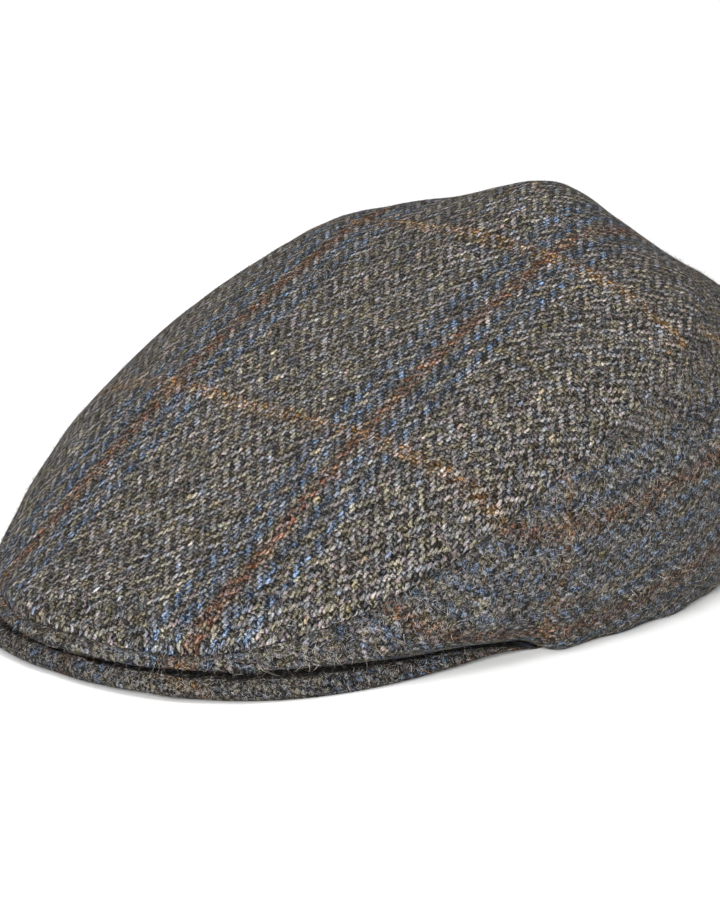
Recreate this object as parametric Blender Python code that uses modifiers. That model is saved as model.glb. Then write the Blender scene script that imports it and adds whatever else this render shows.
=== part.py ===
"""Touring cap: a tweed flat cap, built from its cut pieces.

The crown is one surface, drawn by paths round the cap. Each path runs from the turned-in
hem, out under the crown, round the fold at the rim and up to the middle of the top. A seam
line cuts the surface into a top panel and two side panels, which become cloth of one
thickness. The peak is a padded board under the crown's front.

Lengths are millimetres until a mesh is made. +Z is up and the peak points along -Y. The
origin is on the floor, under the middle of the cap's length.
"""

from dataclasses import dataclass
from typing import Dict, NamedTuple, Tuple

import bmesh
import bpy
import numpy as np

METRES = 0.001

# Crown, seen from above: half an oval in front of the widest line and half behind it
CROWN_HALF_WIDTH = 103.0
CROWN_FRONT_LENGTH = 153.5
CROWN_BACK_LENGTH = 121.5
OUTLINE_POWER = 2.0
CROWN_HEIGHT = 109.0

# Head opening, the cloth and the seams
OPENING_HALF_WIDTH = 87.0
OPENING_HALF_LENGTH = 96.5
HEM_TURN_IN = 7.0
CLOTH_THICKNESS = 1.8
SEAM_GAP = 0.35
LAY_GAP = 0.3

# Peak
PEAK_HALF_WIDTH = 82.0
PEAK_REACH = 2.5
PEAK_THICKNESS = 6.2
PEAK_TAPER_START = 0.6
PEAK_TIP_TAPER = 0.62
PEAK_HOLLOW = 1.6
PEAK_OUTLINE_POWER = 2.57
PEAK_TIP_ANGLE = 86.0
HEM_LANDING_Y = -31.0


class RimRow(NamedTuple):
    """The crown's rim in one direction, from 0 at the front to 180 at the back."""

    angle: float
    height: float  # share of the crown height
    fullness: float  # power that keeps the top high before it drops to the rim
    drop: float  # power of the drop: 0.5 is a round shoulder, more is a slope
    fold: float  # width of the fold under the rim, share of the overhang


RIM = (
    RimRow(0, 0.084, 12.0, 0.50, 0.075),
    RimRow(45, 0.102, 6.0, 0.50, 0.47),
    RimRow(90, 0.371, 3.3, 0.54, 0.72),
    RimRow(135, 0.500, 2.0, 0.65, 0.95),
    RimRow(180, 0.323, 3.0, 0.51, 0.95),
)


class RidgeRow(NamedTuple):
    """The crown's height along its middle, from the front of the rim to the back."""

    along: float  # share of the crown's length
    height: float  # share of the crown height


RIDGE = (
    RidgeRow(0.00, 0.150),
    RidgeRow(0.15, 0.307),
    RidgeRow(0.35, 0.584),
    RidgeRow(0.55, 0.812),
    RidgeRow(0.75, 1.000),
    RidgeRow(0.90, 0.860),
    RidgeRow(1.00, 0.664),
)


class SeamRow(NamedTuple):
    """The seam between the top panel and the side panels."""

    angle: float
    rise: float  # way up the cloth from the rim, share of the crown height


SEAM = (
    SeamRow(0, 0.045),
    SeamRow(25, 0.042),
    SeamRow(45, 0.115),
    SeamRow(70, 0.225),
    SeamRow(100, 0.330),
    SeamRow(135, 0.470),
    SeamRow(180, 0.560),
)


class LiftRow(NamedTuple):
    """How the hem climbs from the floor onto the peak."""

    along: float  # share of the way from the landing to the front of the opening
    height: float  # share of the hem's height on the middle of the peak


HEM_LIFT = (
    LiftRow(0.00, 0.00),
    LiftRow(0.12, 0.50),
    LiftRow(0.30, 0.80),
    LiftRow(0.50, 0.95),
    LiftRow(1.00, 1.00),
)


class FoldRow(NamedTuple):
    """One soft ridge in the cloth of the top, or a dent where the height is negative."""

    name: str
    across: float  # share of the crown's half width
    along: float  # share of the crown's back length
    length: float  # share of the crown's half width
    width: float  # share of the crown's half width
    turn: float  # direction of the long way, in degrees from the front
    height: float  # share of the crown height


FOLDS = (
    FoldRow("far_shoulder", -0.64, 0.27, 0.21, 0.09, 42, 0.010),
    FoldRow("ridge_dip", -0.16, 0.35, 0.25, 0.10, 42, -0.007),
    FoldRow("ridge_corner", 0.02, 0.48, 0.25, 0.10, 42, 0.025),
    FoldRow("back_dent", 0.37, 0.53, 0.25, 0.11, 42, -0.014),
    FoldRow("back_bulge", 0.58, 0.51, 0.21, 0.12, 42, 0.005),
    FoldRow("far_front_puff", -0.82, -0.64, 0.21, 0.16, 42, 0.005),
    FoldRow("far_side_dent", -0.83, -0.10, 0.25, 0.17, 42, -0.018),
)

# Mesh fineness: steps along each stretch of a path, and degrees between paths
TURN_STEPS = 1
UNDER_STEPS = 2
FOLD_STEPS = 6
RISE_STEPS = 5
TOP_STEPS = 12
PATH_ANGLE = 6.0
SEAM_PATH_ANGLE = 2.0
SEAM_EDGE = 1.2
TOP_GRADING = 1.4
PEAK_STATIONS = 40
PEAK_NOSE_STEPS = 6
PEAK_LAY_STEPS = 3


def smooth(at: np.ndarray, knots: Tuple, values: Tuple, flat_ends: bool = True) -> np.ndarray:
    """Return a smooth curve through a table's values.

    Args:
        at: Places where the curve is wanted.
        knots: The table's places, rising.
        values: The table's value at each of them.
        flat_ends: Whether the curve is level at both ends.
    """
    knots = np.asarray(knots, float)
    values = np.asarray(values, float)
    slopes = np.gradient(values, knots)
    if flat_ends:
        slopes[0] = slopes[-1] = 0.0
    low = np.clip(np.searchsorted(knots, at) - 1, 0, len(knots) - 2)
    width = knots[low + 1] - knots[low]
    t = np.clip((at - knots[low]) / width, 0.0, 1.0)
    from_low = values[low] * (1 + 2 * t) * (1 - t) ** 2 + slopes[low] * width * t * (1 - t) ** 2
    from_high = values[low + 1] * t * t * (3 - 2 * t) + slopes[low + 1] * width * t * t * (t - 1)
    return from_low + from_high


def from_table(table: Tuple, column: str, at: np.ndarray, flat_ends: bool = True) -> np.ndarray:
    """Return one column of a table as a smooth curve over its first column."""
    knots = tuple(row[0] for row in table)
    values = tuple(getattr(row, column) for row in table)
    return smooth(at, knots, values, flat_ends)


def signed_power(value: np.ndarray, power: float) -> np.ndarray:
    """Return a value raised to a power, with its own sign kept."""
    return np.sign(value) * np.abs(value) ** power


def rim_outline(angle: np.ndarray) -> Tuple[np.ndarray, np.ndarray]:
    """Return the rim's x and y in the given directions, in degrees from the front."""
    turn = np.radians(angle)
    length = np.where(np.cos(turn) > 0, CROWN_FRONT_LENGTH, CROWN_BACK_LENGTH)
    x = CROWN_HALF_WIDTH * signed_power(np.sin(turn), 2 / OUTLINE_POWER)
    y = -length * signed_power(np.cos(turn), 2 / OUTLINE_POWER)
    return x, y


def opening_outline(angle: np.ndarray, inset: float) -> Tuple[np.ndarray, np.ndarray]:
    """Return the head opening's x and y, drawn in by an inset."""
    turn = np.radians(angle)
    x = (OPENING_HALF_WIDTH - inset) * np.sin(turn)
    y = -(OPENING_HALF_LENGTH - inset) * np.cos(turn)
    return x, y


def hem_height(y: np.ndarray) -> np.ndarray:
    """Return the height of the hem's underside: on the floor, or on the peak."""
    along = np.clip((HEM_LANDING_Y - y) / (HEM_LANDING_Y + OPENING_HALF_LENGTH), 0.0, 1.0)
    lift = np.minimum(from_table(HEM_LIFT, "height", along), 1.0)
    return (PEAK_THICKNESS + LAY_GAP) * lift


def ridge_height(x: np.ndarray, y: np.ndarray) -> np.ndarray:
    """Return the height that the top reaches over a place, its folds included."""
    along = (y + CROWN_FRONT_LENGTH) / (CROWN_FRONT_LENGTH + CROWN_BACK_LENGTH)
    height = from_table(RIDGE, "height", along, flat_ends=False)
    for fold in FOLDS:
        turn = np.radians(fold.turn)
        from_x = x - fold.across * CROWN_HALF_WIDTH
        from_y = y - fold.along * CROWN_BACK_LENGTH
        long_way = (from_x * np.sin(turn) - from_y * np.cos(turn)) / (fold.length * CROWN_HALF_WIDTH)
        short_way = (from_x * np.cos(turn) + from_y * np.sin(turn)) / (fold.width * CROWN_HALF_WIDTH)
        height = height + fold.height * np.exp(-0.5 * (long_way**2 + short_way**2))
    return CROWN_HEIGHT * height


@dataclass
class CrownPaths:
    """Paths over the crown, each from the hem's inner edge to the middle of the top.

    Attributes:
        points: Places, as steps x paths x 3.
        length: Cloth length from the hem's inner edge to each step of each path.
        corners: The step at which each named stretch of the paths ends.
        angle: The direction of each path, in degrees from the front.
    """

    points: np.ndarray
    length: np.ndarray
    corners: Dict[str, int]
    angle: np.ndarray

    def length_at(self, corner: str) -> np.ndarray:
        """Return the cloth length from the hem to a corner, for each path."""
        return self.length[self.corners[corner]]

    def seam_length(self) -> np.ndarray:
        """Return the cloth length from the hem to the seam, for each path."""
        around = np.abs((self.angle + 180) % 360 - 180)
        return self.length_at("rim") + CROWN_HEIGHT * from_table(SEAM, "rise", around)

    def at(self, wanted: np.ndarray) -> np.ndarray:
        """Return the places at the wanted cloth lengths, given as rows x paths."""
        places = np.empty(wanted.shape + (3,))
        for path in range(wanted.shape[1]):
            for axis in range(3):
                places[:, path, axis] = np.interp(
                    wanted[:, path], self.length[:, path], self.points[:, path, axis]
                )
        return places


def crown_paths(angle: np.ndarray) -> CrownPaths:
    """Return the crown's paths in the given directions."""
    around = np.abs((angle + 180) % 360 - 180)
    rim_x, rim_y = rim_outline(angle)
    rim_z = CROWN_HEIGHT * from_table(RIM, "height", around)
    fullness = from_table(RIM, "fullness", around)
    drop = from_table(RIM, "drop", around)
    fold = from_table(RIM, "fold", around)
    hem_x, hem_y = opening_outline(angle, 0.0)
    edge_x, edge_y = opening_outline(angle, HEM_TURN_IN)
    start_x = rim_x - (rim_x - hem_x) * fold
    start_y = rim_y - (rim_y - hem_y) * fold

    stretches = []
    for share in np.linspace(0.0, 1.0, 4)[:-1]:
        y = edge_y + (hem_y - edge_y) * share
        stretches.append((edge_x + (hem_x - edge_x) * share, y, hem_height(y)))
    corners = {"turn": len(stretches)}
    for share in np.linspace(0.0, 1.0, 4)[:-1]:
        y = hem_y + (start_y - hem_y) * share
        stretches.append((hem_x + (start_x - hem_x) * share, y, hem_height(y)))
    corners["under"] = len(stretches)
    for turn in np.radians(np.linspace(0.0, 90.0, 24)):
        out = np.sin(turn)
        y = start_y + (rim_y - start_y) * out
        low = hem_height(y)
        stretches.append((start_x + (rim_x - start_x) * out, y, low + (rim_z - low) * (1 - np.cos(turn))))
    corners["rim"] = len(stretches) - 1
    for turn in np.radians(np.linspace(90.0, 0.0, 120)[1:]):
        out = np.sin(turn)
        x = rim_x * out
        y = rim_y * out
        share = np.clip(1 - out**fullness, 0.0, 1.0) ** drop
        stretches.append((x, y, rim_z * (1 - share) + ridge_height(x, y) * share))
    corners["top"] = len(stretches) - 1

    points = np.array([np.stack(np.broadcast_arrays(*place), axis=-1) for place in stretches])
    steps = np.linalg.norm(np.diff(points, axis=0), axis=-1)
    length = np.vstack([np.zeros((1, len(angle))), np.cumsum(steps, axis=0)])
    return CrownPaths(points, length, corners, angle)


def path_angles(first: float, last: float) -> np.ndarray:
    """Return the directions of a half's paths, closer together beside the centre seams."""
    inner = np.arange(first + PATH_ANGLE, last, PATH_ANGLE)
    return np.concatenate(([first, first + SEAM_PATH_ANGLE], inner, [last - SEAM_PATH_ANGLE, last]))


def rows_between(low: np.ndarray, high: np.ndarray, steps: int, grading: float = 1.0) -> np.ndarray:
    """Return rows of cloth lengths from low up to, but not with, high.

    A grading over 1 brings the rows closer together near low.
    """
    shares = (np.arange(steps)[:, None] / steps) ** grading
    return low[None, :] + (high - low)[None, :] * shares


def tweed_material(name: str, colour: Tuple[float, float, float]) -> bpy.types.Material:
    """Return a plain woollen cloth material."""
    material = bpy.data.materials.new(name)
    material.use_nodes = True
    shader = material.node_tree.nodes["Principled BSDF"]
    shader.inputs["Base Color"].default_value = (*colour, 1.0)
    shader.inputs["Roughness"].default_value = 0.95
    shader.inputs["Metallic"].default_value = 0.0
    return material


def add_object(name: str, bm: bmesh.types.BMesh, material: bpy.types.Material) -> bpy.types.Object:
    """Return a new object for a mesh made in millimetres round the widest line."""
    middle_y = (CROWN_BACK_LENGTH - CROWN_FRONT_LENGTH - PEAK_REACH) / 2
    for vert in bm.verts:
        vert.co.y -= middle_y
    bmesh.ops.scale(bm, vec=(METRES, METRES, METRES), verts=bm.verts)
    mesh = bpy.data.meshes.new(name)
    bm.to_mesh(mesh)
    bm.free()
    mesh.materials.append(material)
    piece = bpy.data.objects.new(name, mesh)
    bpy.context.scene.collection.objects.link(piece)
    return piece


def cloth_panel(name: str, places: np.ndarray, material: bpy.types.Material) -> bpy.types.Object:
    """Return a panel of cloth: a grid laid over the crown and thickened inwards.

    Args:
        name: The object's name.
        places: Where the grid's corners go, as rows x columns x 3.
        material: The panel's cloth.
    """
    rows, columns = places.shape[:2]
    bm = bmesh.new()
    bmesh.ops.create_grid(bm, x_segments=columns - 1, y_segments=rows - 1, size=1.0)
    for vert in bm.verts:
        column = round((vert.co.x + 1) / 2 * (columns - 1))
        row = round((vert.co.y + 1) / 2 * (rows - 1))
        vert.co = places[row, column]
    bmesh.ops.remove_doubles(bm, verts=bm.verts, dist=0.001)
    panel = add_object(name, bm, material)
    thicken = panel.modifiers.new("cloth_thickness", "SOLIDIFY")
    thicken.thickness = CLOTH_THICKNESS * METRES
    thicken.offset = -1.0
    thicken.use_even_offset = True
    thicken.use_quality_normals = True
    return panel


def side_panel(name: str, first: float, material: bpy.types.Material) -> bpy.types.Object:
    """Return one side panel, which covers half a turn from the given direction."""
    paths = crown_paths(path_angles(first, first + 180.0))
    hem = np.zeros(len(paths.angle))
    turn = paths.length_at("turn")
    under = paths.length_at("under")
    rim = paths.length_at("rim")
    seam = paths.seam_length() - SEAM_GAP / 2
    wanted = np.vstack(
        [
            rows_between(hem, turn, TURN_STEPS),
            rows_between(turn, under, UNDER_STEPS),
            rows_between(under, rim, FOLD_STEPS),
            rows_between(rim, seam - SEAM_EDGE, RISE_STEPS),
            rows_between(seam - SEAM_EDGE, seam, 1),
            seam[None, :],
        ]
    )
    places = paths.at(wanted)
    side = 1.0 if first < 180.0 else -1.0
    for end in (0, -1):
        places[:, end, 0] = side * SEAM_GAP / 2
    return cloth_panel(name, places, material)


def top_panel(name: str, material: bpy.types.Material) -> bpy.types.Object:
    """Return the egg-shaped top panel, from the seam up to the middle of the top."""
    halves = [path_angles(0.0, 180.0), path_angles(180.0, 360.0)[1:]]
    paths = crown_paths(np.concatenate(halves))
    seam = paths.seam_length() + SEAM_GAP / 2
    top = paths.length_at("top")
    wanted = np.vstack(
        [
            rows_between(seam, seam + SEAM_EDGE, 1),
            rows_between(seam + SEAM_EDGE, top, TOP_STEPS, TOP_GRADING),
            top[None, :],
        ]
    )
    return cloth_panel(name, paths.at(wanted), material)


def peak_section(angle: float) -> np.ndarray:
    """Return the peak's cross-section in one direction, as a loop of places.

    The loop goes round the rounded outer edge from below, back along the top to the
    opening, and along the hollow underside to the start.

    Args:
        angle: Direction in degrees from the front, from -PEAK_TIP_ANGLE to PEAK_TIP_ANGLE.
    """
    turn = np.radians(angle)
    depth = CROWN_FRONT_LENGTH + PEAK_REACH + HEM_LANDING_Y
    power = 2 / PEAK_OUTLINE_POWER
    edge_x = PEAK_HALF_WIDTH * signed_power(np.sin(turn), power)
    edge_y = HEM_LANDING_Y - depth * np.abs(np.cos(turn)) ** power
    late = max(abs(angle) / PEAK_TIP_ANGLE - PEAK_TAPER_START, 0.0) / (1 - PEAK_TAPER_START)
    taper = 1 - (1 - PEAK_TIP_TAPER) * late**2
    tip_y = HEM_LANDING_Y - depth * np.abs(np.cos(np.radians(PEAK_TIP_ANGLE))) ** power
    tip_turn = np.degrees(np.arccos(-tip_y / OPENING_HALF_LENGTH))
    inner_x, inner_y = opening_outline(tip_turn * angle / PEAK_TIP_ANGLE, HEM_TURN_IN * (1 - late**2))
    reach = np.hypot(edge_x - inner_x, edge_y - inner_y)
    unit_y = (edge_y - inner_y) / reach
    unit_x = (edge_x - inner_x) / reach
    radius = (hem_height(edge_y) - LAY_GAP) * taper / 2
    lay = (reach - radius) * np.linspace(1.0, 0.0, PEAK_LAY_STEPS + 1)
    lay_height = (hem_height(inner_y + unit_y * lay) - LAY_GAP) * taper
    loop = []
    for nose in np.radians(np.linspace(-90.0, 90.0, PEAK_NOSE_STEPS + 1)[:-1]):
        loop.append((reach - radius + radius * np.cos(nose), radius + radius * np.sin(nose)))
    loop.extend(zip(lay, lay_height))
    for step in range(PEAK_LAY_STEPS, 0, -1):
        back = step / PEAK_LAY_STEPS
        loop.append(((reach - radius) * (1 - back), PEAK_HOLLOW * taper * back))
    out = np.array(loop, dtype=float)
    return np.stack([inner_x + unit_x * out[:, 0], inner_y + unit_y * out[:, 0], out[:, 1]], axis=-1)


def peak(name: str, material: bpy.types.Material) -> bpy.types.Object:
    """Return the peak: one solid board, lofted through its cross-sections."""
    bm = bmesh.new()
    loops = []
    for angle in np.linspace(-PEAK_TIP_ANGLE, PEAK_TIP_ANGLE, PEAK_STATIONS + 1):
        verts = [bm.verts.new(place) for place in peak_section(angle)]
        loops.append([bm.edges.new((verts[i - 1], verts[i])) for i in range(len(verts))])
    for here, there in zip(loops, loops[1:]):
        bmesh.ops.bridge_loops(bm, edges=here + there)
    bmesh.ops.holes_fill(bm, edges=loops[0] + loops[-1])
    bmesh.ops.recalc_face_normals(bm, faces=bm.faces)
    return add_object(name, bm, material)


def clear_scene() -> None:
    """Remove the objects that the file holds at the start."""
    for item in list(bpy.data.objects):
        bpy.data.objects.remove(item, do_unlink=True)


def main() -> None:
    """Build the cap: top panel, two side panels and peak."""
    clear_scene()
    top_panel("top_panel", tweed_material("top_tweed", (0.118, 0.109, 0.098)))
    side_panel("side_panel_right", 0.0, tweed_material("right_tweed", (0.112, 0.102, 0.091)))
    side_panel("side_panel_left", 180.0, tweed_material("left_tweed", (0.112, 0.102, 0.091)))
    peak("peak", tweed_material("peak_tweed", (0.100, 0.092, 0.084)))


main()
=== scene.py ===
import logging
from dataclasses import dataclass, field
from enum import Enum
from typing import Any, Dict, NamedTuple, Tuple

import bpy
import numpy as np
from mathutils import Matrix, Vector


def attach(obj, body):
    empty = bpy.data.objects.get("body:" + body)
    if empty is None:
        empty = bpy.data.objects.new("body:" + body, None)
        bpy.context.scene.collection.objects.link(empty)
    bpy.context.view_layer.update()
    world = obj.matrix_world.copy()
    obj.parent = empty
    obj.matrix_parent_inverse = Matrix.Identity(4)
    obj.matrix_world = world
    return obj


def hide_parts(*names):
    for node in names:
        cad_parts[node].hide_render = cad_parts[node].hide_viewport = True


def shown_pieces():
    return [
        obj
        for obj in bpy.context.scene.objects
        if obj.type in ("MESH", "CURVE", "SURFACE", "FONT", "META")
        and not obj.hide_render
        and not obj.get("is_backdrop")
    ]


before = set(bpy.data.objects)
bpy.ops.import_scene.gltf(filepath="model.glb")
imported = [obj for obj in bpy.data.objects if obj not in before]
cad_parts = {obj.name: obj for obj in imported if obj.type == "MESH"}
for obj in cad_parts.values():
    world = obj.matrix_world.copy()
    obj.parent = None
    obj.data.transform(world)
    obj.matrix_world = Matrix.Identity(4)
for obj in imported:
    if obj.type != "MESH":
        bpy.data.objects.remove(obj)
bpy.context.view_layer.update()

LOG = logging.getLogger("touring_cap")
MM = 0.001

# Numbers of a mix node's colour output and of a vector maths node's scale input
MIXED_COLOUR = 2
VECTOR_SCALE = 3

# The middle of the cap's hollow, in metres
HOLLOW_MIDDLE = (0.0, 0.02, 0.035)

# The thread of an overcheck line that isn't there
NO_LINE = 4000.0
# A quarter of a thread, which keeps an overcheck thread on one side of its line's middle
NEAR_SIDE = 0.25

# Steps of a path over the crown: along each flat strip, round the rim's bend, over the top
FLAT_STEPS = 5
BEND_STEPS = 48
TOP_STEPS = 240


def linear_colour(hex_colour: str) -> Tuple[float, float, float, float]:
    """Return an sRGB hex colour as linear RGBA.

    Args:
        hex_colour: Six hex digits, with or without a leading hash.

    Returns:
        The colour in Blender's linear space, fully opaque.
    """
    digits = hex_colour.lstrip("#")
    parts = []
    for start in (0, 2, 4):
        value = int(digits[start:start + 2], 16) / 255.0
        parts.append(value / 12.92 if value <= 0.04045 else ((value + 0.055) / 1.055) ** 2.4)
    return (parts[0], parts[1], parts[2], 1.0)


# The crown's form


class RimRow(NamedTuple):
    """The crown's rim in one direction, from 0 at the front to 180 at the back."""

    angle: float
    height: float
    fullness: float
    drop: float
    fold: float


class RidgeRow(NamedTuple):
    """The crown's height along its middle, as a share of the crown height."""

    along: float
    height: float


class SeamRow(NamedTuple):
    """How far up the cloth from the rim the seam runs, as a share of the crown height."""

    angle: float
    rise: float


class LiftRow(NamedTuple):
    """How the hem climbs from the floor onto the peak."""

    along: float
    height: float


class CurlRow(NamedTuple):
    """How far the peak's edge curls up from the floor, below and on top, in millimetres."""

    angle: float
    under: float
    top: float


class FoldRow(NamedTuple):
    """One soft ridge in the cloth of the top, or a dent where the height is negative."""

    name: str
    across: float
    along: float
    length: float
    width: float
    turn: float
    height: float


def smooth(at: np.ndarray, knots: Tuple, values: Tuple, flat_ends: bool = True) -> np.ndarray:
    """Return a smooth curve through a table's values.

    Args:
        at: Places where the curve is wanted.
        knots: The table's places, rising.
        values: The table's value at each of them.
        flat_ends: Whether the curve is level at both ends.

    Returns:
        The curve's value at each place.
    """
    knots = np.asarray(knots, float)
    values = np.asarray(values, float)
    slopes = np.gradient(values, knots)
    if flat_ends:
        slopes[0] = slopes[-1] = 0.0
    low = np.clip(np.searchsorted(knots, at) - 1, 0, len(knots) - 2)
    width = knots[low + 1] - knots[low]
    t = np.clip((at - knots[low]) / width, 0.0, 1.0)
    from_low = values[low] * (1 + 2 * t) * (1 - t) ** 2 + slopes[low] * width * t * (1 - t) ** 2
    from_high = values[low + 1] * t * t * (3 - 2 * t) + slopes[low + 1] * width * t * t * (t - 1)
    return from_low + from_high


def from_table(table: Tuple, column: str, at: np.ndarray, flat_ends: bool = True) -> np.ndarray:
    """Return one column of a table as a smooth curve over its first column.

    Args:
        table: Rows whose first column rises.
        column: The name of the wanted column.
        at: Places where the curve is wanted.
        flat_ends: Whether the curve is level at both ends.

    Returns:
        The curve's value at each place.
    """
    knots = tuple(row[0] for row in table)
    values = tuple(getattr(row, column) for row in table)
    return smooth(at, knots, values, flat_ends)


def running_sum(steps: np.ndarray) -> np.ndarray:
    """Return the sum up to each step along the last axis, from zero."""
    return np.concatenate([np.zeros(steps.shape[:-1] + (1,)), np.cumsum(steps, axis=-1)], axis=-1)


def from_front(angle: np.ndarray) -> np.ndarray:
    """Return directions as 0 at the front to 180 at the back, on either side."""
    return np.abs((angle + 180) % 360 - 180)


@dataclass(frozen=True)
class CapForm:
    """The cap's form in millimetres, with y from its widest line.

    The lengths and the first three tables are the part's source's own. The hem's lift, the
    peak's tips and curl, and the last three folds follow the photograph more closely.
    """

    half_width: float = 103.0
    front_length: float = 153.5
    back_length: float = 121.5
    height: float = 109.0
    opening_half_width: float = 87.0
    opening_half_length: float = 96.5
    hem_turn_in: float = 7.0
    lay_gap: float = 0.3
    peak_half_width: float = 82.0
    peak_reach: float = 2.5
    peak_thickness: float = 6.2
    peak_taper_start: float = 0.6
    peak_tip_taper: float = 0.35
    peak_hollow: float = 1.6
    peak_outline_power: float = 2.57
    peak_tip_angle: float = 87.0
    peak_tip_flare: float = 2.2
    hem_landing_y: float = -31.0
    rim: Tuple[RimRow, ...] = (
        RimRow(0, 0.084, 12.0, 0.50, 0.075),
        RimRow(45, 0.102, 6.0, 0.50, 0.47),
        RimRow(90, 0.371, 3.3, 0.54, 0.72),
        RimRow(135, 0.500, 2.0, 0.65, 0.95),
        RimRow(180, 0.323, 3.0, 0.51, 0.95),
    )
    ridge: Tuple[RidgeRow, ...] = (
        RidgeRow(0.00, 0.150),
        RidgeRow(0.15, 0.307),
        RidgeRow(0.35, 0.584),
        RidgeRow(0.55, 0.812),
        RidgeRow(0.75, 1.000),
        RidgeRow(0.90, 0.860),
        RidgeRow(1.00, 0.664),
    )
    seam: Tuple[SeamRow, ...] = (
        SeamRow(0, 0.045),
        SeamRow(25, 0.042),
        SeamRow(45, 0.115),
        SeamRow(70, 0.225),
        SeamRow(100, 0.330),
        SeamRow(135, 0.470),
        SeamRow(180, 0.560),
    )
    hem_lift: Tuple[LiftRow, ...] = (
        LiftRow(0.00, 0.00),
        LiftRow(0.20, 0.04),
        LiftRow(0.26, 0.30),
        LiftRow(0.33, 0.66),
        LiftRow(0.46, 0.91),
        LiftRow(0.60, 0.99),
        LiftRow(1.00, 1.00),
    )
    peak_curl: Tuple[CurlRow, ...] = (
        CurlRow(0, 1.0, 0.7),
        CurlRow(10, 1.2, 0.9),
        CurlRow(18, 1.4, 0.9),
        CurlRow(26, 0.9, 0.6),
        CurlRow(36, 0.4, 0.3),
        CurlRow(48, 0.0, 0.1),
        CurlRow(58, 0.1, 0.1),
        CurlRow(66, 0.5, 0.1),
        CurlRow(74, 1.3, 0.1),
        CurlRow(80, 1.8, 0.0),
        CurlRow(84, 1.0, 0.0),
        CurlRow(87, 0.0, 0.0),
    )
    folds: Tuple[FoldRow, ...] = (
        FoldRow("far_shoulder", -0.64, 0.27, 0.21, 0.09, 42, 0.010),
        FoldRow("ridge_dip", -0.16, 0.35, 0.25, 0.10, 42, -0.007),
        FoldRow("ridge_corner", 0.02, 0.48, 0.25, 0.10, 42, 0.025),
        FoldRow("back_dent", 0.37, 0.53, 0.25, 0.11, 42, -0.014),
        FoldRow("back_bulge", 0.58, 0.51, 0.21, 0.12, 42, 0.005),
        FoldRow("far_front_puff", -0.82, -0.64, 0.21, 0.16, 42, 0.005),
        FoldRow("far_side_dent", -0.83, -0.10, 0.25, 0.17, 42, -0.018),
        FoldRow("far_front_dent", -0.82, -0.40, 0.21, 0.09, 42, -0.014),
        FoldRow("shoulder_dip", -0.50, 0.29, 0.22, 0.06, 42, -0.009),
        FoldRow("back_notch", 0.44, 0.53, 0.20, 0.05, 42, -0.010),
    )

    def middle_y(self) -> float:
        """Return how far the widest line lies from the middle of the cap's length."""
        return (self.back_length - self.front_length - self.peak_reach) / 2

    def to_frame(self, places: np.ndarray) -> np.ndarray:
        """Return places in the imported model's frame, in metres."""
        return (places - np.array([0.0, self.middle_y(), 0.0])) * MM

    def rim_line(self, angle: np.ndarray) -> Tuple[np.ndarray, np.ndarray, np.ndarray]:
        """Return the rim in the given directions.

        Args:
            angle: Directions in degrees from the front.

        Returns:
            The rim's x, y and z there.
        """
        turn = np.radians(angle)
        reach = np.where(np.cos(turn) > 0, self.front_length, self.back_length)
        z = self.height * from_table(self.rim, "height", from_front(angle))
        return self.half_width * np.sin(turn), -reach * np.cos(turn), z

    def opening(self, angle: np.ndarray, inset: float) -> Tuple[np.ndarray, np.ndarray]:
        """Return the head opening in the given directions.

        Args:
            angle: Directions in degrees from the front.
            inset: How far the opening is drawn in.

        Returns:
            Its x and y there.
        """
        turn = np.radians(angle)
        x = (self.opening_half_width - inset) * np.sin(turn)
        return x, -(self.opening_half_length - inset) * np.cos(turn)

    def hem_height(self, y: np.ndarray) -> np.ndarray:
        """Return the height of the hem's underside, on the floor or on the peak.

        Args:
            y: Places along the cap.

        Returns:
            The height at each place.
        """
        climb = self.hem_landing_y + self.opening_half_length
        along = np.clip((self.hem_landing_y - y) / climb, 0.0, 1.0)
        lift = np.clip(from_table(self.hem_lift, "height", along), 0.0, 1.0)
        return (self.peak_thickness + self.lay_gap) * lift

    def ridge_height(self, x: np.ndarray, y: np.ndarray) -> np.ndarray:
        """Return the height that the top reaches over a place, its folds included.

        Args:
            x: Places across the cap.
            y: Places along it.

        Returns:
            The height at each place.
        """
        along = (y + self.front_length) / (self.front_length + self.back_length)
        height = from_table(self.ridge, "height", along, flat_ends=False)
        for fold in self.folds:
            turn = np.radians(fold.turn)
            from_x = x - fold.across * self.half_width
            from_y = y - fold.along * self.back_length
            long_way = (from_x * np.sin(turn) - from_y * np.cos(turn)) / fold.length
            short_way = (from_x * np.cos(turn) + from_y * np.sin(turn)) / fold.width
            away = (long_way**2 + short_way**2) / self.half_width**2
            height = height + fold.height * np.exp(-away / 2)
        return self.height * height

    def top_height(self, x: np.ndarray, y: np.ndarray) -> np.ndarray:
        """Return the height of the crown's top over a place, level outside the rim.

        Args:
            x: Places across the cap.
            y: Places along it.

        Returns:
            The height at each place.
        """
        length = np.where(y < 0, self.front_length, self.back_length)
        out = np.clip(np.hypot(x / self.half_width, y / length), 0.0, 1.0)
        around = np.degrees(np.arctan2(np.abs(x) / self.half_width, -y / length))
        rim_z = self.height * from_table(self.rim, "height", around)
        drop = from_table(self.rim, "drop", around)
        share = (1 - out ** from_table(self.rim, "fullness", around)) ** drop
        return rim_z * (1 - share) + self.ridge_height(x, y) * share


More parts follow.
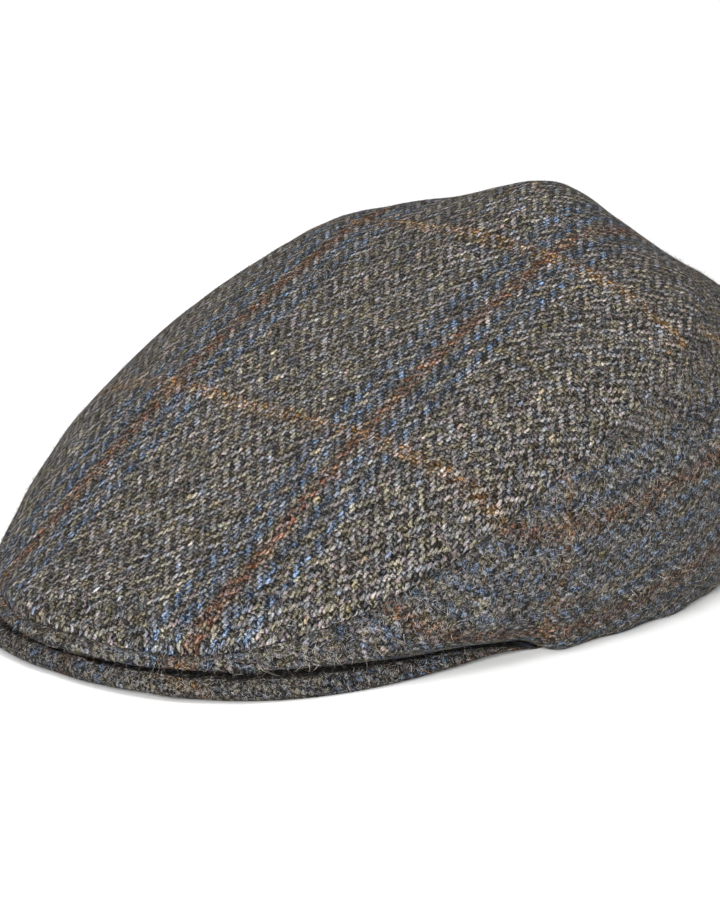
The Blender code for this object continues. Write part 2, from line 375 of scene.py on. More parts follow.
@dataclass
class CrownPaths:
    """Paths over the crown, each from the hem's inner edge to the middle of the top.

    Attributes:
        form: The cap's form.
        angle: The direction of each path, in degrees from the front.
        points: The paths' places, as steps x paths x 3.
        length: The cloth length from the hem to each of them.
        corners: The step at which each part of the paths ends.
    """

    form: CapForm
    angle: np.ndarray
    points: np.ndarray = field(init=False)
    length: np.ndarray = field(init=False)
    corners: Dict[str, int] = field(init=False)

    def __post_init__(self) -> None:
        """Lay the paths out, and measure the cloth length to each step."""
        form = self.form
        around = from_front(self.angle)
        rim_x, rim_y, rim_z = form.rim_line(self.angle)
        fullness = from_table(form.rim, "fullness", around)
        drop = from_table(form.rim, "drop", around)
        fold = from_table(form.rim, "fold", around)
        hem_x, hem_y = form.opening(self.angle, 0.0)
        edge_x, edge_y = form.opening(self.angle, form.hem_turn_in)
        start_x = rim_x - (rim_x - hem_x) * fold
        start_y = rim_y - (rim_y - hem_y) * fold

        places = []
        corners = {}
        for corner, from_x, from_y, to_x, to_y in (
            ("turn", edge_x, edge_y, hem_x, hem_y),
            ("under", hem_x, hem_y, start_x, start_y),
        ):
            for share in np.arange(FLAT_STEPS) / FLAT_STEPS:
                y = from_y + (to_y - from_y) * share
                places.append((from_x + (to_x - from_x) * share, y, form.hem_height(y)))
            corners[corner] = len(places)
        for turn in np.radians(np.linspace(0.0, 90.0, BEND_STEPS)):
            y = start_y + (rim_y - start_y) * np.sin(turn)
            low = form.hem_height(y)
            x = start_x + (rim_x - start_x) * np.sin(turn)
            places.append((x, y, low + (rim_z - low) * (1 - np.cos(turn))))
        corners["rim"] = len(places) - 1
        for turn in np.radians(np.linspace(90.0, 0.0, TOP_STEPS)[1:]):
            out = np.sin(turn)
            share = np.clip(1 - out**fullness, 0.0, 1.0) ** drop
            x = rim_x * out
            y = rim_y * out
            places.append((x, y, rim_z * (1 - share) + form.ridge_height(x, y) * share))
        corners["top"] = len(places) - 1

        self.points = np.array(
            [np.stack(np.broadcast_arrays(*place), axis=-1) for place in places]
        )
        steps = np.linalg.norm(np.diff(self.points, axis=0), axis=-1)
        self.length = np.vstack([np.zeros((1, len(self.angle))), np.cumsum(steps, axis=0)])
        self.corners = corners

    def length_at(self, corner: str) -> np.ndarray:
        """Return the cloth length from the hem to a corner, for each path."""
        return self.length[self.corners[corner]]

    def seam_length(self) -> np.ndarray:
        """Return the cloth length from the hem to the seam, for each path."""
        rise = from_table(self.form.seam, "rise", from_front(self.angle))
        return self.length_at("rim") + self.form.height * rise

    def rim_arc(self) -> np.ndarray:
        """Return how far along the rim each path lies.

        Returns:
            The length from the front centre to each path.
        """
        fine = np.linspace(0.0, 180.0, 4 * 180 + 1)
        rim = np.stack(self.form.rim_line(fine), axis=-1)
        arc = running_sum(np.linalg.norm(np.diff(rim, axis=0), axis=-1))
        return np.interp(from_front(self.angle), fine, arc)

    def at(self, wanted: np.ndarray) -> np.ndarray:
        """Return places on the paths.

        Args:
            wanted: Cloth lengths from the hem, as rows x paths.

        Returns:
            The places, as rows x paths x 3.
        """
        places = np.empty(wanted.shape + (3,))
        for path in range(wanted.shape[1]):
            for axis in range(3):
                places[:, path, axis] = np.interp(
                    wanted[:, path], self.length[:, path], self.points[:, path, axis]
                )
        return places


def rows_between(
    low: np.ndarray, high: np.ndarray, steps: int, grading: float = 1.0
) -> np.ndarray:
    """Return rows of cloth lengths from low up to, but not with, high.

    Args:
        low: The first row's length for each path.
        high: The length where the next stretch starts.
        steps: How many rows to make.
        grading: Over 1 brings the rows closer together near low.

    Returns:
        The rows, as steps x paths.
    """
    shares = (np.arange(steps)[:, None] / steps) ** grading
    return low[None, :] + (high - low)[None, :] * shares


def grid_normals(places: np.ndarray) -> np.ndarray:
    """Return the outward unit normal at each corner of a grid.

    Args:
        places: The grid's corners, as rows x columns x 3.

    Returns:
        The normals, in the same shape.
    """
    along = np.gradient(places, axis=1)
    up = np.gradient(places, axis=0)
    normal = np.cross(along, up)
    size = np.linalg.norm(normal, axis=-1, keepdims=True)
    return normal / np.maximum(size, 1e-9)


def soft_noise(x: np.ndarray, y: np.ndarray, size: float, seed: int) -> np.ndarray:
    """Return smooth noise from about -1 to 1, made of a few waves.

    Args:
        x: Places across, in millimetres.
        y: Places along, in millimetres.
        size: The usual length of one wave.
        seed: Which noise it is.

    Returns:
        The noise at each place.
    """
    waves = 9
    rng = np.random.default_rng(seed)
    total = np.zeros(np.broadcast(x, y).shape)
    for _ in range(waves):
        way = rng.uniform(0, 2 * np.pi)
        length = size * rng.uniform(0.7, 1.6)
        phase = rng.uniform(0, 2 * np.pi)
        total = total + np.sin(2 * np.pi * (x * np.cos(way) + y * np.sin(way)) / length + phase)
    return total / np.sqrt(waves)


# The cloth on the form


@dataclass(frozen=True)
class Weave:
    """The tweed's thread counts: a 2/2 herringbone, four ends to a column.

    Attributes:
        end: Distance between two warp ends, in millimetres.
        pick: Distance between two weft picks, in millimetres.
        check_ends: Ends from one warp overcheck line to the next.
        check_picks: Picks from one weft overcheck line to the next.
    """

    end: float = 1.143
    pick: float = 1.25
    check_ends: int = 70
    check_picks: int = 72


def from_grid(
    grid: np.ndarray, row_line: np.ndarray, column_line: np.ndarray, y: np.ndarray, x: np.ndarray
) -> np.ndarray:
    """Return values between the corners of an even grid.

    Args:
        grid: The values, as rows x columns.
        row_line: The y of each row.
        column_line: The x of each column.
        y: Where values are wanted.
        x: Where values are wanted.

    Returns:
        The value at each place, held at the grid's edges.
    """
    lows = []
    shares = []
    for line, at in ((row_line, y), (column_line, x)):
        step = np.clip((at - line[0]) / (line[1] - line[0]), 0, len(line) - 1.001)
        lows.append(step.astype(int))
        shares.append(step - lows[-1])
    (row, column), (row_share, column_share) = lows, shares
    low = grid[row, column] * (1 - column_share) + grid[row, column + 1] * column_share
    row = row + 1
    high = grid[row, column] * (1 - column_share) + grid[row, column + 1] * column_share
    return low * (1 - row_share) + high * row_share


class LineRow(NamedTuple):
    """An overcheck line on the top: its place on the middle line, its lean and its bow."""

    middle: float
    lean: float
    bow: float

    def at(self, share: np.ndarray) -> np.ndarray:
        """Return how far the line lies off its middle place."""
        return self.lean * share + self.bow * share**2


@dataclass(frozen=True)
class TopCloth:
    """How the top panel's cloth lies: where its overcheck lines run over the crown.

    Attributes:
        form: The cap's form.
        weave: The cloth's thread counts.
        warp_far: x of the far warp line over y, as a share of warp_unit.
        warp_near: x of the near warp line over the same.
        weft_front: y of the front weft line over x, as a share of weft_unit.
        weft_back: y of the back weft line over the same.
        warp_unit: The length that a warp line's lean and bow are given for.
        weft_unit: The length that a weft line's lean and bow are given for.
        front_ease: How much of its length the cloth in front of the lines shows.
    """

    form: CapForm
    weave: Weave
    warp_far: LineRow = LineRow(-44.46, -1.42, 0.79)
    warp_near: LineRow = LineRow(33.60, -0.18, 3.60)
    weft_front: LineRow = LineRow(-66.17, -2.75, 6.89)
    weft_back: LineRow = LineRow(18.20, -2.92, 2.98)
    warp_unit: float = 120.0
    weft_unit: float = 100.0
    front_ease: float = 0.93

    def across(self, x: np.ndarray, y: np.ndarray) -> np.ndarray:
        """Return how far across the cloth each place lies, from the far warp line.

        Args:
            x: Places across the cap.
            y: Places along it.

        Returns:
            The cloth's coordinate across, in millimetres.
        """
        form = self.form
        side = form.half_width + 4
        x_line = np.linspace(-side, side, 431)
        y_line = np.linspace(-form.front_length, form.back_length, 276)
        grid_y, grid_x = np.meshgrid(y_line, x_line, indexing="ij")
        heights = form.top_height(grid_x, grid_y)
        arcs = running_sum(np.hypot(np.diff(grid_x, axis=1), np.diff(heights, axis=1)))
        down = y_line / self.warp_unit
        far, near = (
            np.array([np.interp(x_now, x_line, arc) for x_now, arc in zip(places, arcs)])
            for places in (line.middle + line.at(down) for line in (self.warp_far, self.warp_near))
        )
        repeat = self.weave.end * self.weave.check_ends
        grid = (arcs - far[:, None]) / (near - far)[:, None] * repeat
        return from_grid(grid, y_line, x_line, y, x)

    def along(self, x: np.ndarray, y: np.ndarray) -> np.ndarray:
        """Return how far along the cloth each place lies, from the front weft line.

        Args:
            x: Places across the cap.
            y: Places along it.

        Returns:
            The cloth's coordinate along, in millimetres.
        """
        form = self.form
        front = self.weft_front
        back = self.weft_back
        middle_y = np.linspace(-form.front_length - 12, form.back_length + 12, 1201)
        middle_z = form.top_height(np.zeros_like(middle_y), middle_y)
        arc = running_sum(np.hypot(np.diff(middle_y), np.diff(middle_z)))
        side = x / self.weft_unit
        mix = np.clip((y - front.middle) / (back.middle - front.middle), -0.4, 1.4)
        level = y - (front.at(side) * (1 - mix) + back.at(side) * mix)
        front_arc, back_arc = np.interp((front.middle, back.middle), middle_y, arc)
        repeat = self.weave.pick * self.weave.check_picks
        along = (np.interp(level, middle_y, arc) - front_arc) / (back_arc - front_arc) * repeat
        return np.where(along < 0, along * self.front_ease, along)

    def map(self, places: np.ndarray) -> np.ndarray:
        """Return the cloth's own coordinates, across and along in millimetres.

        Args:
            places: Places on the top, as rows x columns x 3.

        Returns:
            Across and along, as rows x columns x 2. A line of the overcheck lies at 0 and
            at each full repeat.
        """
        x = places[..., 0]
        y = places[..., 1]
        return np.stack([self.across(x, y), self.along(x, y)], axis=-1)


class TurnRow(NamedTuple):
    """How far a side panel's warp is turned from the rim, in degrees, by rim length."""

    arc: float
    turn: float


@dataclass(frozen=True)
class SideCloth:
    """How a side panel's cloth lies: its warp runs round the head, and slants at the front.

    Attributes:
        form: The cap's form.
        weave: The cloth's thread counts.
        turns: The slant of the warp from the rim.
        line_height: How far the rust end lies above the rim at the side, in millimetres.
        line_arc: The rim length at which that height holds.
        weft_arc: The rim length at which a weft overcheck line crosses the rim.
    """

    form: CapForm
    weave: Weave
    turns: Tuple[TurnRow, ...] = (
        TurnRow(0, 45.0),
        TurnRow(60, 45.0),
        TurnRow(107, 38.5),
        TurnRow(140, 25.0),
        TurnRow(165, 10.6),
        TurnRow(190, 2.6),
        TurnRow(222, 0.0),
        TurnRow(460, 0.0),
    )
    line_height: float = 5.7
    line_arc: float = 222.0
    weft_arc: float = 155.0

    def map(self, arc: np.ndarray, up: np.ndarray, side: float) -> np.ndarray:
        """Return the cloth's own coordinates, across and along in millimetres.

        Args:
            arc: Rim length from the front centre, one for each path.
            up: Cloth length up from the rim, as rows x paths.
            side: 1 for the right panel and -1 for the left one.

        Returns:
            Across and along, as rows x paths x 2.
        """
        end = self.turns[-1].arc
        fine = np.linspace(0.0, end, int(2 * end) + 1)
        turn = np.radians(from_table(self.turns, "turn", fine))
        rise = running_sum(np.sin(turn[:-1]) * np.diff(fine))
        run = running_sum(np.cos(turn[:-1]) * np.diff(fine))
        rise = rise - np.interp(self.line_arc, fine, rise) - self.line_height
        run = run - np.interp(self.weft_arc, fine, run)
        here = np.interp(arc, fine, turn)[None, :]
        across = np.interp(arc, fine, rise)[None, :] + up * np.cos(here)
        along = np.interp(arc, fine, run)[None, :] - up * np.sin(here)
        return np.stack([across, along * side], axis=-1)


# The pieces


@dataclass
class ClothPiece:
    """A grid of cloth that is laid over the form, and dressed.

    Attributes:
        name: The finished object's name.
        node: The CAD node that it stands for.
        slot: The name of a material slot. Not used.
    """

    name: str
    node: str
    slot: str

    def lay(self, places: np.ndarray, cloth: np.ndarray, form: CapForm) -> bpy.types.Object:
        """Return a grid primitive with its corners moved onto the form.

        Args:
            places: Where the grid's corners go, as rows x columns x 3, in millimetres.
            cloth: The cloth's own coordinates there, in millimetres.
            form: The cap's form.

        Returns:
            The open sheet, with a UV map named cloth in metres of cloth.
        """
        rows, columns = places.shape[:2]
        bpy.ops.object.select_all(action="DESELECT")
        bpy.ops.mesh.primitive_grid_add(
            x_subdivisions=columns - 1, y_subdivisions=rows - 1, size=1.0, calc_uvs=True
        )
        piece = bpy.context.object
        piece.name = piece.data.name = self.name
        mesh = piece.data
        flat = np.empty(len(mesh.vertices) * 3)
        mesh.vertices.foreach_get("co", flat)
        x_share, y_share, _ = flat.reshape(-1, 3).T + 0.5
        column = np.rint(x_share * (columns - 1)).astype(int)
        row = np.rint(y_share * (rows - 1)).astype(int)
        mesh.vertices.foreach_set("co", form.to_frame(places[row, column]).ravel())
        corner = np.empty(len(mesh.loops), dtype=np.int32)
        mesh.loops.foreach_get("vertex_index", corner)
        uv = mesh.uv_layers.active
        uv.name = "cloth"
        uv.uv.foreach_set("vector", (cloth[row[corner], column[corner]] * MM).ravel())
        mesh.update()
        return piece

    def merge(self, piece: bpy.types.Object) -> None:
        """Close the piece where its first and last columns, or a whole row, meet.

        Args:
            piece: The open sheet, which is the active object. Not used.
        """
        bpy.ops.object.mode_set(mode="EDIT")
        bpy.ops.mesh.select_all(action="SELECT")
        bpy.ops.mesh.remove_doubles(threshold=0.00001)
        bpy.ops.object.mode_set(mode="OBJECT")

    def thicken(self, piece: bpy.types.Object, thickness: float) -> None:
        """Give the sheet its wall, inwards, and apply it.

        Args:
            piece: The open sheet, which is the active object.
            thickness: The wall in millimetres.
        """
        bpy.ops.object.modifier_add(type="SOLIDIFY")
        wall = piece.modifiers[-1]
        wall.thickness = thickness * MM
        wall.offset = -1.0
        wall.use_quality_normals = True
        bpy.ops.object.modifier_apply(modifier=wall.name)

    def dress(self, piece: bpy.types.Object, material: bpy.types.Material) -> None:
        """Shade the piece smooth, give it its material and hang it on the frame.

        Args:
            piece: The closed piece, which is the active object.
            material: Its finish.
        """
        bpy.ops.object.shade_smooth()
        piece.data.materials.clear()
        piece.data.materials.append(material)
        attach(piece, "root")
        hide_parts(self.node)


@dataclass(frozen=True)
class Ripple:
    """How a panel's cloth ripples softly, away from its seams, in millimetres.

    Attributes:
        waves: Height, usual length and seed of each size of wave.
        ease: How far from a seam the ripples start.
    """

    waves: Tuple[Tuple[float, float, int], ...]
    ease: float = 6.0

    def rise(self, x: np.ndarray, y: np.ndarray, *from_seams: np.ndarray) -> np.ndarray:
        """Return how far the cloth stands out.

        Args:
            x: Cloth length one way.
            y: Cloth length the other way.
            from_seams: Cloth length from each of the panel's seams.

        Returns:
            The ripple's height.
        """
        total = sum(height * soft_noise(x, y, size, seed) for height, size, seed in self.waves)
        for away in from_seams:
            total = total * (1 - np.exp(-away / self.ease))
        return total


@dataclass(frozen=True)
class SeamSink:
    """How the cloth sinks where it is sewn: a soft ditch with small puckers.

    Attributes:
        depth: How deep the sewn edge lies under the cloth, in millimetres.
        width: How far from the seam the cloth starts to sink.
        pucker: The puckers' share of the depth.
        stitch: The usual length of a pucker.
        press_start: Rim length from the front where the seam starts to lie flatter.
        press_end: Rim length where it lies flattest.
        pressed: The depth that is left there, as a share.
    """

    depth: float = 1.35
    width: float = 1.35
    pucker: float = 0.35
    stitch: float = 6.0
    press_start: float = 140.0
    press_end: float = 215.0
    pressed: float = 0.21

    def openness(self, around: np.ndarray) -> np.ndarray:
        """Return how open the seam is there: 1 at the front, less where it is pressed flat."""
        return smooth(np.abs(around), (self.press_start, self.press_end), (1.0, self.pressed))

    def drop(self, away: np.ndarray, around: np.ndarray) -> np.ndarray:
        """Return how far the cloth sinks.

        Args:
            away: Cloth length from the seam.
            around: Rim length from the front centre.

        Returns:
            The depth in millimetres.
        """
        uneven = 1 + self.pucker * soft_noise(around, around * 0.3, self.stitch, 11)
        near = np.exp(-((away / self.width) ** 2))
        return self.depth * uneven * self.openness(around) * near


@dataclass
class Panel(ClothPiece):
    """A cloth panel of the crown, a wall that is sewn along its edges.

    Attributes:
        cut_size: The box that the flat piece is cut from, in metres. Not used.
        cut_area: The flat piece's area, in square metres. Not used.
        ripple: How the cloth ripples.
        columns: Paths round the panel.
        form: The cap's form.
        weave: The cloth's thread counts.
        sink: How the cloth sinks at a seam.
        wall: How thick the cloth is, in millimetres.
        sewn_gap: The gap along the seam round the top, in millimetres.
        edge_strip: How wide the finer strip beside that seam is, in millimetres.
        edge_rows: Rows of the grid on that strip.
    """

    cut_size: Tuple[float, float]
    cut_area: float
    ripple: Ripple
    columns: int
    form: CapForm = field(default_factory=CapForm)
    weave: Weave = field(default_factory=Weave)
    sink: SeamSink = field(default_factory=SeamSink)
    wall: float = 1.6
    sewn_gap: float = 0.26
    edge_strip: float = 4.0
    edge_rows: int = 8

    def half_gap(self, paths: CrownPaths) -> np.ndarray:
        """Return half the seam's gap on each path."""
        return self.sewn_gap / 2 * self.sink.openness(paths.rim_arc())

    def finish(self, piece: bpy.types.Object, material: bpy.types.Material) -> None:
        """Args:
            piece: The open sheet, which is the active object.
            material: The panel's tweed.
        """
        self.thicken(piece, self.wall)
        self.dress(piece, material)


@dataclass
class TopPanel(Panel):
    """The egg-shaped top, cut with its warp from front to back."""

    cut_size: Tuple[float, float] = (0.195, 0.253)
    cut_area: float = 0.0387
    ripple: Ripple = Ripple(((0.28, 34.0, 5), (0.10, 13.0, 6)))
    columns: int = 216

    def build(self, material: bpy.types.Material) -> bpy.types.Object:
        """Build the top panel.

        Args:
            material: The panel's tweed.

        Returns:
            The finished panel.
        """
        angle = np.linspace(0.0, 360.0, self.columns + 1)
        paths = CrownPaths(self.form, angle)
        seam = paths.seam_length() + self.half_gap(paths)
        inner = seam + self.edge_strip
        top = paths.length_at("top")
        wanted = np.vstack(
            [
                rows_between(seam, inner, self.edge_rows),
                rows_between(inner, top, 60, 1.15),
                top[None, :],
            ]
        )
        places = paths.at(wanted)
        normal = grid_normals(places)
        normal[-1] = (0.0, 0.0, 1.0)
        away = wanted - seam[None, :]
        arc = paths.rim_arc() * np.sign(angle - 180.0)
        out = self.ripple.rise(places[..., 0], places[..., 1], away)
        out = out - self.sink.drop(away, arc[None, :])
        out[:, -1] = out[:, 0]
        cloth = TopCloth(self.form, self.weave).map(places)
        piece = self.lay(places + normal * out[..., None], cloth, self.form)
        self.merge(piece)
        self.finish(piece, material)
        return piece


class Side(Enum):
    """The two side panels, seen from the front of the cap."""

    RIGHT = 1.0
    LEFT = -1.0


@dataclass
class SidePanel(Panel):
    """One side panel: from the turned-in hem, round the rim fold, up to the seam."""

    cut_size: Tuple[float, float] = (0.205, 0.356)
    cut_area: float = 0.0299
    ripple: Ripple = Ripple(((0.30, 30.0, 8),))
    columns: int = 150
    side: Side = Side.RIGHT
    centre_gap: float = 0.02
    still_strip: float = 14.0

    def build(self, material: bpy.types.Material) -> bpy.types.Object:
        """Build the side panel.

        Args:
            material: The panel's tweed.

        Returns:
            The finished panel.
        """
        first = 0.0 if self.side is Side.RIGHT else 180.0
        paths = CrownPaths(self.form, np.linspace(first, first + 180.0, self.columns + 1))
        turn, under, rim = (paths.length_at(corner) for corner in ("turn", "under", "rim"))
        seam = paths.seam_length() - self.half_gap(paths)
        inner = np.maximum(seam - self.edge_strip, rim + 0.3 * (seam - rim))
        wanted = np.vstack(
            [
                rows_between(np.zeros_like(turn), turn, 3),
                rows_between(turn, under, 6),
                rows_between(under, rim, 18),
                rows_between(rim, inner, 18),
                rows_between(inner, seam, self.edge_rows),
                seam[None, :],
            ]
        )
        places = paths.at(wanted)
        arc = paths.rim_arc()
        up = wanted - rim[None, :]
        away = seam[None, :] - wanted
        centre = np.minimum(arc, arc.max() - arc)[None, :] + 0 * away
        side_arc = arc[None, :] * self.side.value + 0 * away
        sink = np.maximum(self.sink.drop(away, -side_arc), self.sink.drop(centre, wanted))
        still = np.clip(wanted / self.still_strip, 0.0, 1.0)
        out = self.ripple.rise(side_arc, up, away, centre) * still - sink
        placed = places + grid_normals(places) * out[..., None]
        hem = np.minimum(places[..., 2], self.form.hem_height(places[..., 1]))
        placed[..., 2] = np.maximum(placed[..., 2], hem)
        placed[:, (0, -1), 0] = self.side.value * self.centre_gap / 2
        cloth = SideCloth(self.form, self.weave).map(arc, up, self.side.value)
        piece = self.lay(placed, cloth, self.form)
        self.finish(piece, material)
        return piece


@dataclass
class Peak(ClothPiece):
    """The peak: a stiff board padded and covered with tweed, rolled round at its edge.

    Attributes:
        form: The cap's form.
        weave: The cloth's thread counts.
        stations: Cross-sections from tip to tip.
        nose_steps: Steps of a section round the rolled edge.
        lay_steps: Steps along its top, and along its underside.
        roll_rise: How far the top falls behind the rolled edge, in millimetres.
        roll_width: The width of that fall.
        warp_line_x: x of a warp line of the overcheck.
        weft_line_y: y of a weft line of it.
    """

    form: CapForm = field(default_factory=CapForm)
    weave: Weave = field(default_factory=Weave)
    stations: int = 180
    nose_steps: int = 16
    lay_steps: int = 24
    roll_rise: float = 2.0
    roll_width: float = 4.0
    warp_line_x: float = 4.6
    weft_line_y: float = -146.0

    def section(self, angle: float) -> Tuple[np.ndarray, np.ndarray]:
        """Return the peak's cross-section in one direction.

        Args:
            angle: Direction in degrees from the front.

        Returns:
            A closed loop of places, from the outer edge below, round the nose, back along
            the top and out again under it, and the cloth's own coordinates along the loop.
        """
        form = self.form
        turn = np.radians(angle)
        depth = form.front_length + form.peak_reach + form.hem_landing_y
        power = 2 / form.peak_outline_power
        edge_x = form.peak_half_width * np.sign(np.sin(turn)) * np.abs(np.sin(turn)) ** power
        edge_y = form.hem_landing_y - depth * np.abs(np.cos(turn)) ** power
        share = abs(angle) / form.peak_tip_angle
        late = max(share - form.peak_taper_start, 0.0) / (1 - form.peak_taper_start)
        edge_x += form.peak_tip_flare * np.sign(angle) * late**2
        taper = 1 - (1 - form.peak_tip_taper) * late**3
        tip_y = form.hem_landing_y - depth * np.cos(np.radians(form.peak_tip_angle)) ** power
        tip_turn = np.degrees(np.arccos(-tip_y / form.opening_half_length))
        inner_x, inner_y = form.opening(
            tip_turn * angle / form.peak_tip_angle, form.hem_turn_in * (1 - late**2)
        )
        reach = np.hypot(edge_x - inner_x, edge_y - inner_y)
        unit_y = (edge_y - inner_y) / reach
        unit_x = (edge_x - inner_x) / reach
        radius = (form.hem_height(edge_y) - form.lay_gap) * taper / 2
        flat = reach - radius
        lay = flat * np.linspace(1.0, 0.0, self.lay_steps + 1) ** 0.7
        lay_height = (form.hem_height(inner_y + unit_y * lay) - form.lay_gap) * taper
        inward = np.clip((flat - lay) / self.roll_width, 0.0, 1.0)
        eased = inward**2 * (3 - 2 * inward)
        curl_under, curl_top = (
            float(from_table(form.peak_curl, column, abs(angle))) for column in ("under", "top")
        )
        lay_height = lay_height - self.roll_rise * (1 - late) * eased + curl_top * (1 - eased)
        tall = radius + (curl_top - curl_under) / 2
        nose = np.radians(np.linspace(-90.0, 90.0, self.nose_steps + 1)[:-1])
        round_edge = (flat + radius * np.cos(nose), curl_under + tall + tall * np.sin(nose))
        back = np.arange(self.lay_steps, 0, -1) / self.lay_steps
        below = form.peak_hollow * taper * back + curl_under * (1 - back)
        loop = np.hstack([round_edge, (lay, lay_height), (flat * (1 - back), below)])
        out, height = np.hstack([loop, loop[:, :1]])
        places = np.stack([inner_x + unit_x * out, inner_y + unit_y * out, height], axis=-1)
        steps = running_sum(np.hypot(np.diff(out), np.diff(height)))
        wrapped = flat + (steps[self.nose_steps] - steps)
        cloth = np.stack(
            [
                inner_x + unit_x * wrapped - self.warp_line_x,
                inner_y + unit_y * wrapped - self.weft_line_y,
            ],
            axis=-1,
        )
        return places, cloth

    def build(self, material: bpy.types.Material) -> bpy.types.Object:
        """Build the peak.

        Args:
            material: The peak's tweed.

        Returns:
            The finished peak.
        """
        tip = self.form.peak_tip_angle
        sections = [self.section(angle) for angle in np.linspace(-tip, tip, self.stations + 1)]
        places = np.stack([place for place, _ in sections], axis=1)
        cloth = np.stack([coordinates for _, coordinates in sections], axis=1)
        normal = grid_normals(places)
        arc = places[..., 0] + 0.4 * places[..., 1]
        puff = 0.22 * soft_noise(arc, places[..., 2] * 3, 17.0, 21)
        puff = puff * np.clip(places[..., 2] / 2.0, 0.0, 1.0)
        puff[-1] = puff[0]
        normal[-1] = normal[0]
        piece = self.lay(places + normal * puff[..., None], cloth, self.form)
        self.merge(piece)
        bpy.ops.object.mode_set(mode="EDIT")
        bpy.ops.mesh.select_all(action="DESELECT")
        bpy.ops.mesh.select_non_manifold()
        bpy.ops.mesh.edge_face_add()
        bpy.ops.object.mode_set(mode="OBJECT")
        self.dress(piece, material)
        return piece


# The finishes


@dataclass
class Recipe:
    """A material's node tree, built one named node after another.

    Attributes:
        name: The material's name.
        shader_values: Uniform values for the shader's own sockets.
        material: The material.
        made: The nodes by name, with the shader among them.
    """

    name: str
    shader_values: Dict[str, Any]
    material: bpy.types.Material = field(init=False)
    made: Dict[str, bpy.types.Node] = field(init=False)

    def __post_init__(self) -> None:
        """Start the material and set its shader's values."""
        self.material = bpy.data.materials.new(self.name)
        self.material.use_nodes = True
        shader = self.material.node_tree.nodes["Principled BSDF"]
        self.made = {"shader": shader}
        for key, value in self.shader_values.items():
            shader.inputs[key].default_value = value

    def link(self, source: str, node: str, key: Any) -> None:
        """Link an output to an input.

        Args:
            source: The node that feeds, with the output after a dot where it isn't the first.
            node: The node that is fed.
            key: Its input's name or number.
        """
        name, _, output = source.partition(".")
        origin = self.made[name]
        mixed = origin.bl_idname == "ShaderNodeMix" and origin.data_type == "RGBA"
        socket = origin.outputs[output or (MIXED_COLOUR if mixed else 0)]
        self.material.node_tree.links.new(socket, self.made[node].inputs[key])

    def add(self, name: str, kind: str, inputs: Dict[Any, Any], **settings: Any) -> str:
        """Add a node with its settings and links.

        Args:
            name: The node's name, which later nodes link to.
            kind: The node's type without its ShaderNode prefix.
            inputs: A value for each input, or the name of the node that feeds it.
            settings: The node's other settings.

        Returns:
            The node's name.
        """
        node = self.material.node_tree.nodes.new("ShaderNode" + kind)
        node.name = node.label = name
        self.made[name] = node
        for key, value in settings.items():
            setattr(node, key, value)
        for key, value in inputs.items():
            if isinstance(value, str):
                self.link(value, name, key)
            else:
                node.inputs[key].default_value = value
        return name

    def math(self, name: str, operation: str, *values: Any) -> str:
        """Add a maths node on the given numbers or nodes."""
        return self.add(name, "Math", dict(enumerate(values)), operation=operation)

    def maths(self, *rows: Tuple) -> None:
        """Add maths nodes from rows of a name, an operation and its values."""
        for name, operation, *values in rows:
            self.math(name, operation, *values)

    def vector(self, name: str, operation: str, first: str, second: Any = None) -> str:
        """Add a vector maths node.

        Args:
            name: The node's name.
            operation: What it works out.
            first: The node that feeds it.
            second: A vector, another node, or the scale.

        Returns:
            The node's name.
        """
        inputs = {0: first}
        if second is not None:
            inputs[VECTOR_SCALE if operation == "SCALE" else 1] = second
        return self.add(name, "VectorMath", inputs, operation=operation)

    def shift(self, name: str, noise: str, size: float) -> str:
        """Add a shift in millimetres that follows a noise's colours."""
        middle = self.vector(name + "_mid", "SUBTRACT", noise + ".Color", (0.5, 0.5, 0.5))
        return self.vector(name, "SCALE", middle, size)

    def between(self, name: str, share: str, low: Any, high: Any) -> str:
        """Add a mix of two numbers."""
        return self.add(name, "Mix", {0: share, 2: low, 3: high}, data_type="FLOAT")

    def over(self, name: str, share: str, below: str, above: str) -> str:
        """Add a mix of two colours."""
        return self.add(name, "Mix", {0: share, 6: below, 7: above}, data_type="RGBA")

    def remap(self, name: str, source: str, start: Tuple, end: Tuple) -> str:
        """Add a map of the start range onto the end range, held at its ends."""
        return self.add(name, "MapRange", dict(enumerate((source, *start, *end))))

    def noise(self, name: str, at: str, scale: float, detail: float, rough: float = 0.5) -> str:
        """Add soft noise at a node's places."""
        inputs = {"Vector": at, "Scale": scale, "Detail": detail, "Roughness": rough}
        return self.add(name, "TexNoise", inputs)

    def ramp(self, name: str, source: str, stops: Tuple[Tuple[float, str], ...]) -> str:
        """Add a colour ramp.

        Args:
            name: The node's name.
            source: The node that feeds it.
            stops: Its places and their hex colours.

        Returns:
            The node's name.
        """
        self.add(name, "ValToRGB", {0: source})
        elements = self.made[name].color_ramp.elements
        while len(elements) < len(stops):
            elements.new(0.5)
        for element, (place, colour) in zip(elements, stops):
            element.position = place
            element.color = linear_colour(colour)
        return name


class BandRow(NamedTuple):
    """A coloured thread of the overcheck, or one on each side of its line.

    Its name, the lines it belongs to, the node that tells where it lies on top, the threads
    from the line's middle to it, how much of it is dyed wool, and how much of that reaches
    the yarns beside it.
    """

    name: str
    lines: str
    up: str
    middle: float
    dye: float
    haze: float


